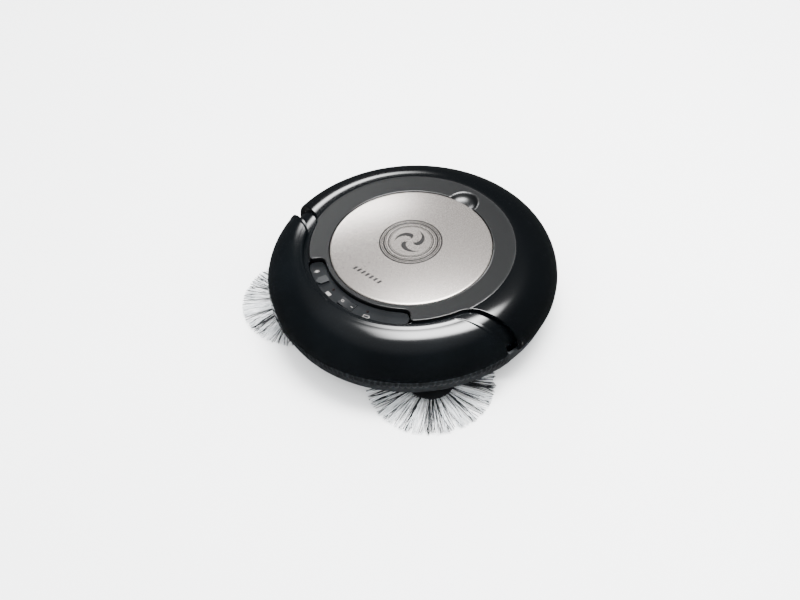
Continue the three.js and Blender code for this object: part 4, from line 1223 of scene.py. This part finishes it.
def camera(stage):
    """The view from the front left, looking down on the lid."""
    azimuth, elevation, roll = (math.radians(a) for a in (VIEW_AZIMUTH, VIEW_ELEVATION, VIEW_ROLL))
    right = Vector((math.cos(azimuth), math.sin(azimuth), 0))
    ahead = Vector((-math.sin(azimuth) * math.cos(elevation), math.cos(azimuth) * math.cos(elevation),
                    -math.sin(elevation)))
    up = right.cross(ahead)
    rolled_right = right * math.cos(roll) + up * math.sin(roll)
    rolled_up = up * math.cos(roll) - right * math.sin(roll)
    distance = stage.view_distance
    lens = bpy.data.cameras.new("view")
    lens.sensor_width = VIEW_SENSOR
    lens.lens = VIEW_LENS
    item = bpy.data.objects.new("view", lens)
    place = AIM - ahead * distance - rolled_right * VIEW_RIGHT + rolled_up * VIEW_UP
    axes = Matrix((rolled_right, rolled_up, -ahead)).transposed()
    item.matrix_world = Matrix.Translation(place) @ axes.to_4x4()
    bpy.context.scene.collection.objects.link(item)
    bpy.context.scene.camera = item


# ------------------------------------------------------------------ operators
class BuildStage(bpy.types.Operator):
    """Camera, floor and lights"""
    bl_idname = "cleaner.build_stage"
    bl_label = "Stage"

    def execute(self, context):
        stage = context.scene.cleaner_stage
        camera(stage)
        floor()
        lights(stage)
        return {"FINISHED"}


class BuildCover(bpy.types.Operator):
    """Rounded cover with the flat ring and finger notch"""
    bl_idname = "cleaner.build_cover"
    bl_label = "Cover"

    def execute(self, context):
        cover_shell(context.scene.cleaner_shell)
        return {"FINISHED"}


class BuildShoulder(bpy.types.Operator):
    """Lower step behind the bumper"""
    bl_idname = "cleaner.build_shoulder"
    bl_label = "Shoulder"

    def execute(self, context):
        shoulder_skin(context.scene.cleaner_shell)
        return {"FINISHED"}


class BuildBumper(bpy.types.Operator):
    """Sliding bumper with its beaded trim"""
    bl_idname = "cleaner.build_bumper"
    bl_label = "Bumper and trim"

    def execute(self, context):
        bumper_shell(context.scene.cleaner_shell)
        trim_strip(context.scene.cleaner_trim)
        return {"FINISHED"}


class BuildLid(bpy.types.Operator):
    """Domed lid with its hinge barrels and print"""
    bl_idname = "cleaner.build_lid"
    bl_label = "Lid"

    def execute(self, context):
        lid_shell()
        lid_knuckles()
        lid_print(context.scene.cleaner_lid)
        return {"FINISHED"}


class BuildControls(bpy.types.Operator):
    """Printed symbols of the control strip and rocker"""
    bl_idname = "cleaner.build_controls"
    bl_label = "Controls"

    def execute(self, context):
        strip_icons()
        rocker_marks()
        return {"FINISHED"}


class BuildBrushes(bpy.types.Operator):
    """Filaments of both side brushes"""
    bl_idname = "cleaner.build_brushes"
    bl_label = "Side brushes"

    def execute(self, context):
        for side in SIDES:
            brush_filaments(side, context.scene.cleaner_brush)
        return {"FINISHED"}


class BuildTyres(bpy.types.Operator):
    """Treaded tyres of the driven wheels"""
    bl_idname = "cleaner.build_tyres"
    bl_label = "Tyres"

    def execute(self, context):
        for side in SIDES:
            tyre(side)
        return {"FINISHED"}


class FinishNodes(bpy.types.Operator):
    """Finishes and rounded edges of the carried-over parts"""
    bl_idname = "cleaner.finish_nodes"
    bl_label = "Part finishes"

    def execute(self, context):
        for node, (material, bevel_mm) in NODE_FINISHES.items():
            dress(node, material, bevel_mm)
        return {"FINISHED"}


class CleanerPanel(bpy.types.Panel):
    """Lists the build steps"""
    bl_idname = "VIEW3D_PT_cleaner"
    bl_label = "Robotic floor cleaner"
    bl_space_type = "VIEW_3D"
    bl_region_type = "UI"
    bl_category = "Cleaner"

    def draw(self, context):
        for operator in OPERATORS:
            self.layout.operator(operator.bl_idname)


OPERATORS = (BuildStage, BuildCover, BuildShoulder, BuildBumper, BuildLid, BuildControls, BuildBrushes,
             BuildTyres, FinishNodes)
SETTINGS = {
    "cleaner_shell": CleanerShellSettings,
    "cleaner_lid": CleanerLidSettings,
    "cleaner_trim": CleanerTrimSettings,
    "cleaner_brush": CleanerBrushSettings,
    "cleaner_stage": CleanerStageSettings,
}


def register():
    """Registers the settings, the operators and the panel."""
    for settings in SETTINGS.values():
        bpy.utils.register_class(settings)
    for name, settings in SETTINGS.items():
        setattr(bpy.types.Scene, name, bpy.props.PointerProperty(type=settings))
    for operator in OPERATORS:
        bpy.utils.register_class(operator)
    bpy.utils.register_class(CleanerPanel)


def unregister():
    """Takes the panel, the operators and the settings away again."""
    bpy.utils.unregister_class(CleanerPanel)
    for operator in reversed(OPERATORS):
        bpy.utils.unregister_class(operator)
    for name, settings in SETTINGS.items():
        delattr(bpy.types.Scene, name)
        bpy.utils.unregister_class(settings)


def main():
    """Builds every piece through its operator."""
    register()
    for operator in OPERATORS:
        family, name = operator.bl_idname.split(".")
        getattr(getattr(bpy.ops, family), name)()
    bpy.context.view_layer.update()


if __name__ == "__main__":
    main()
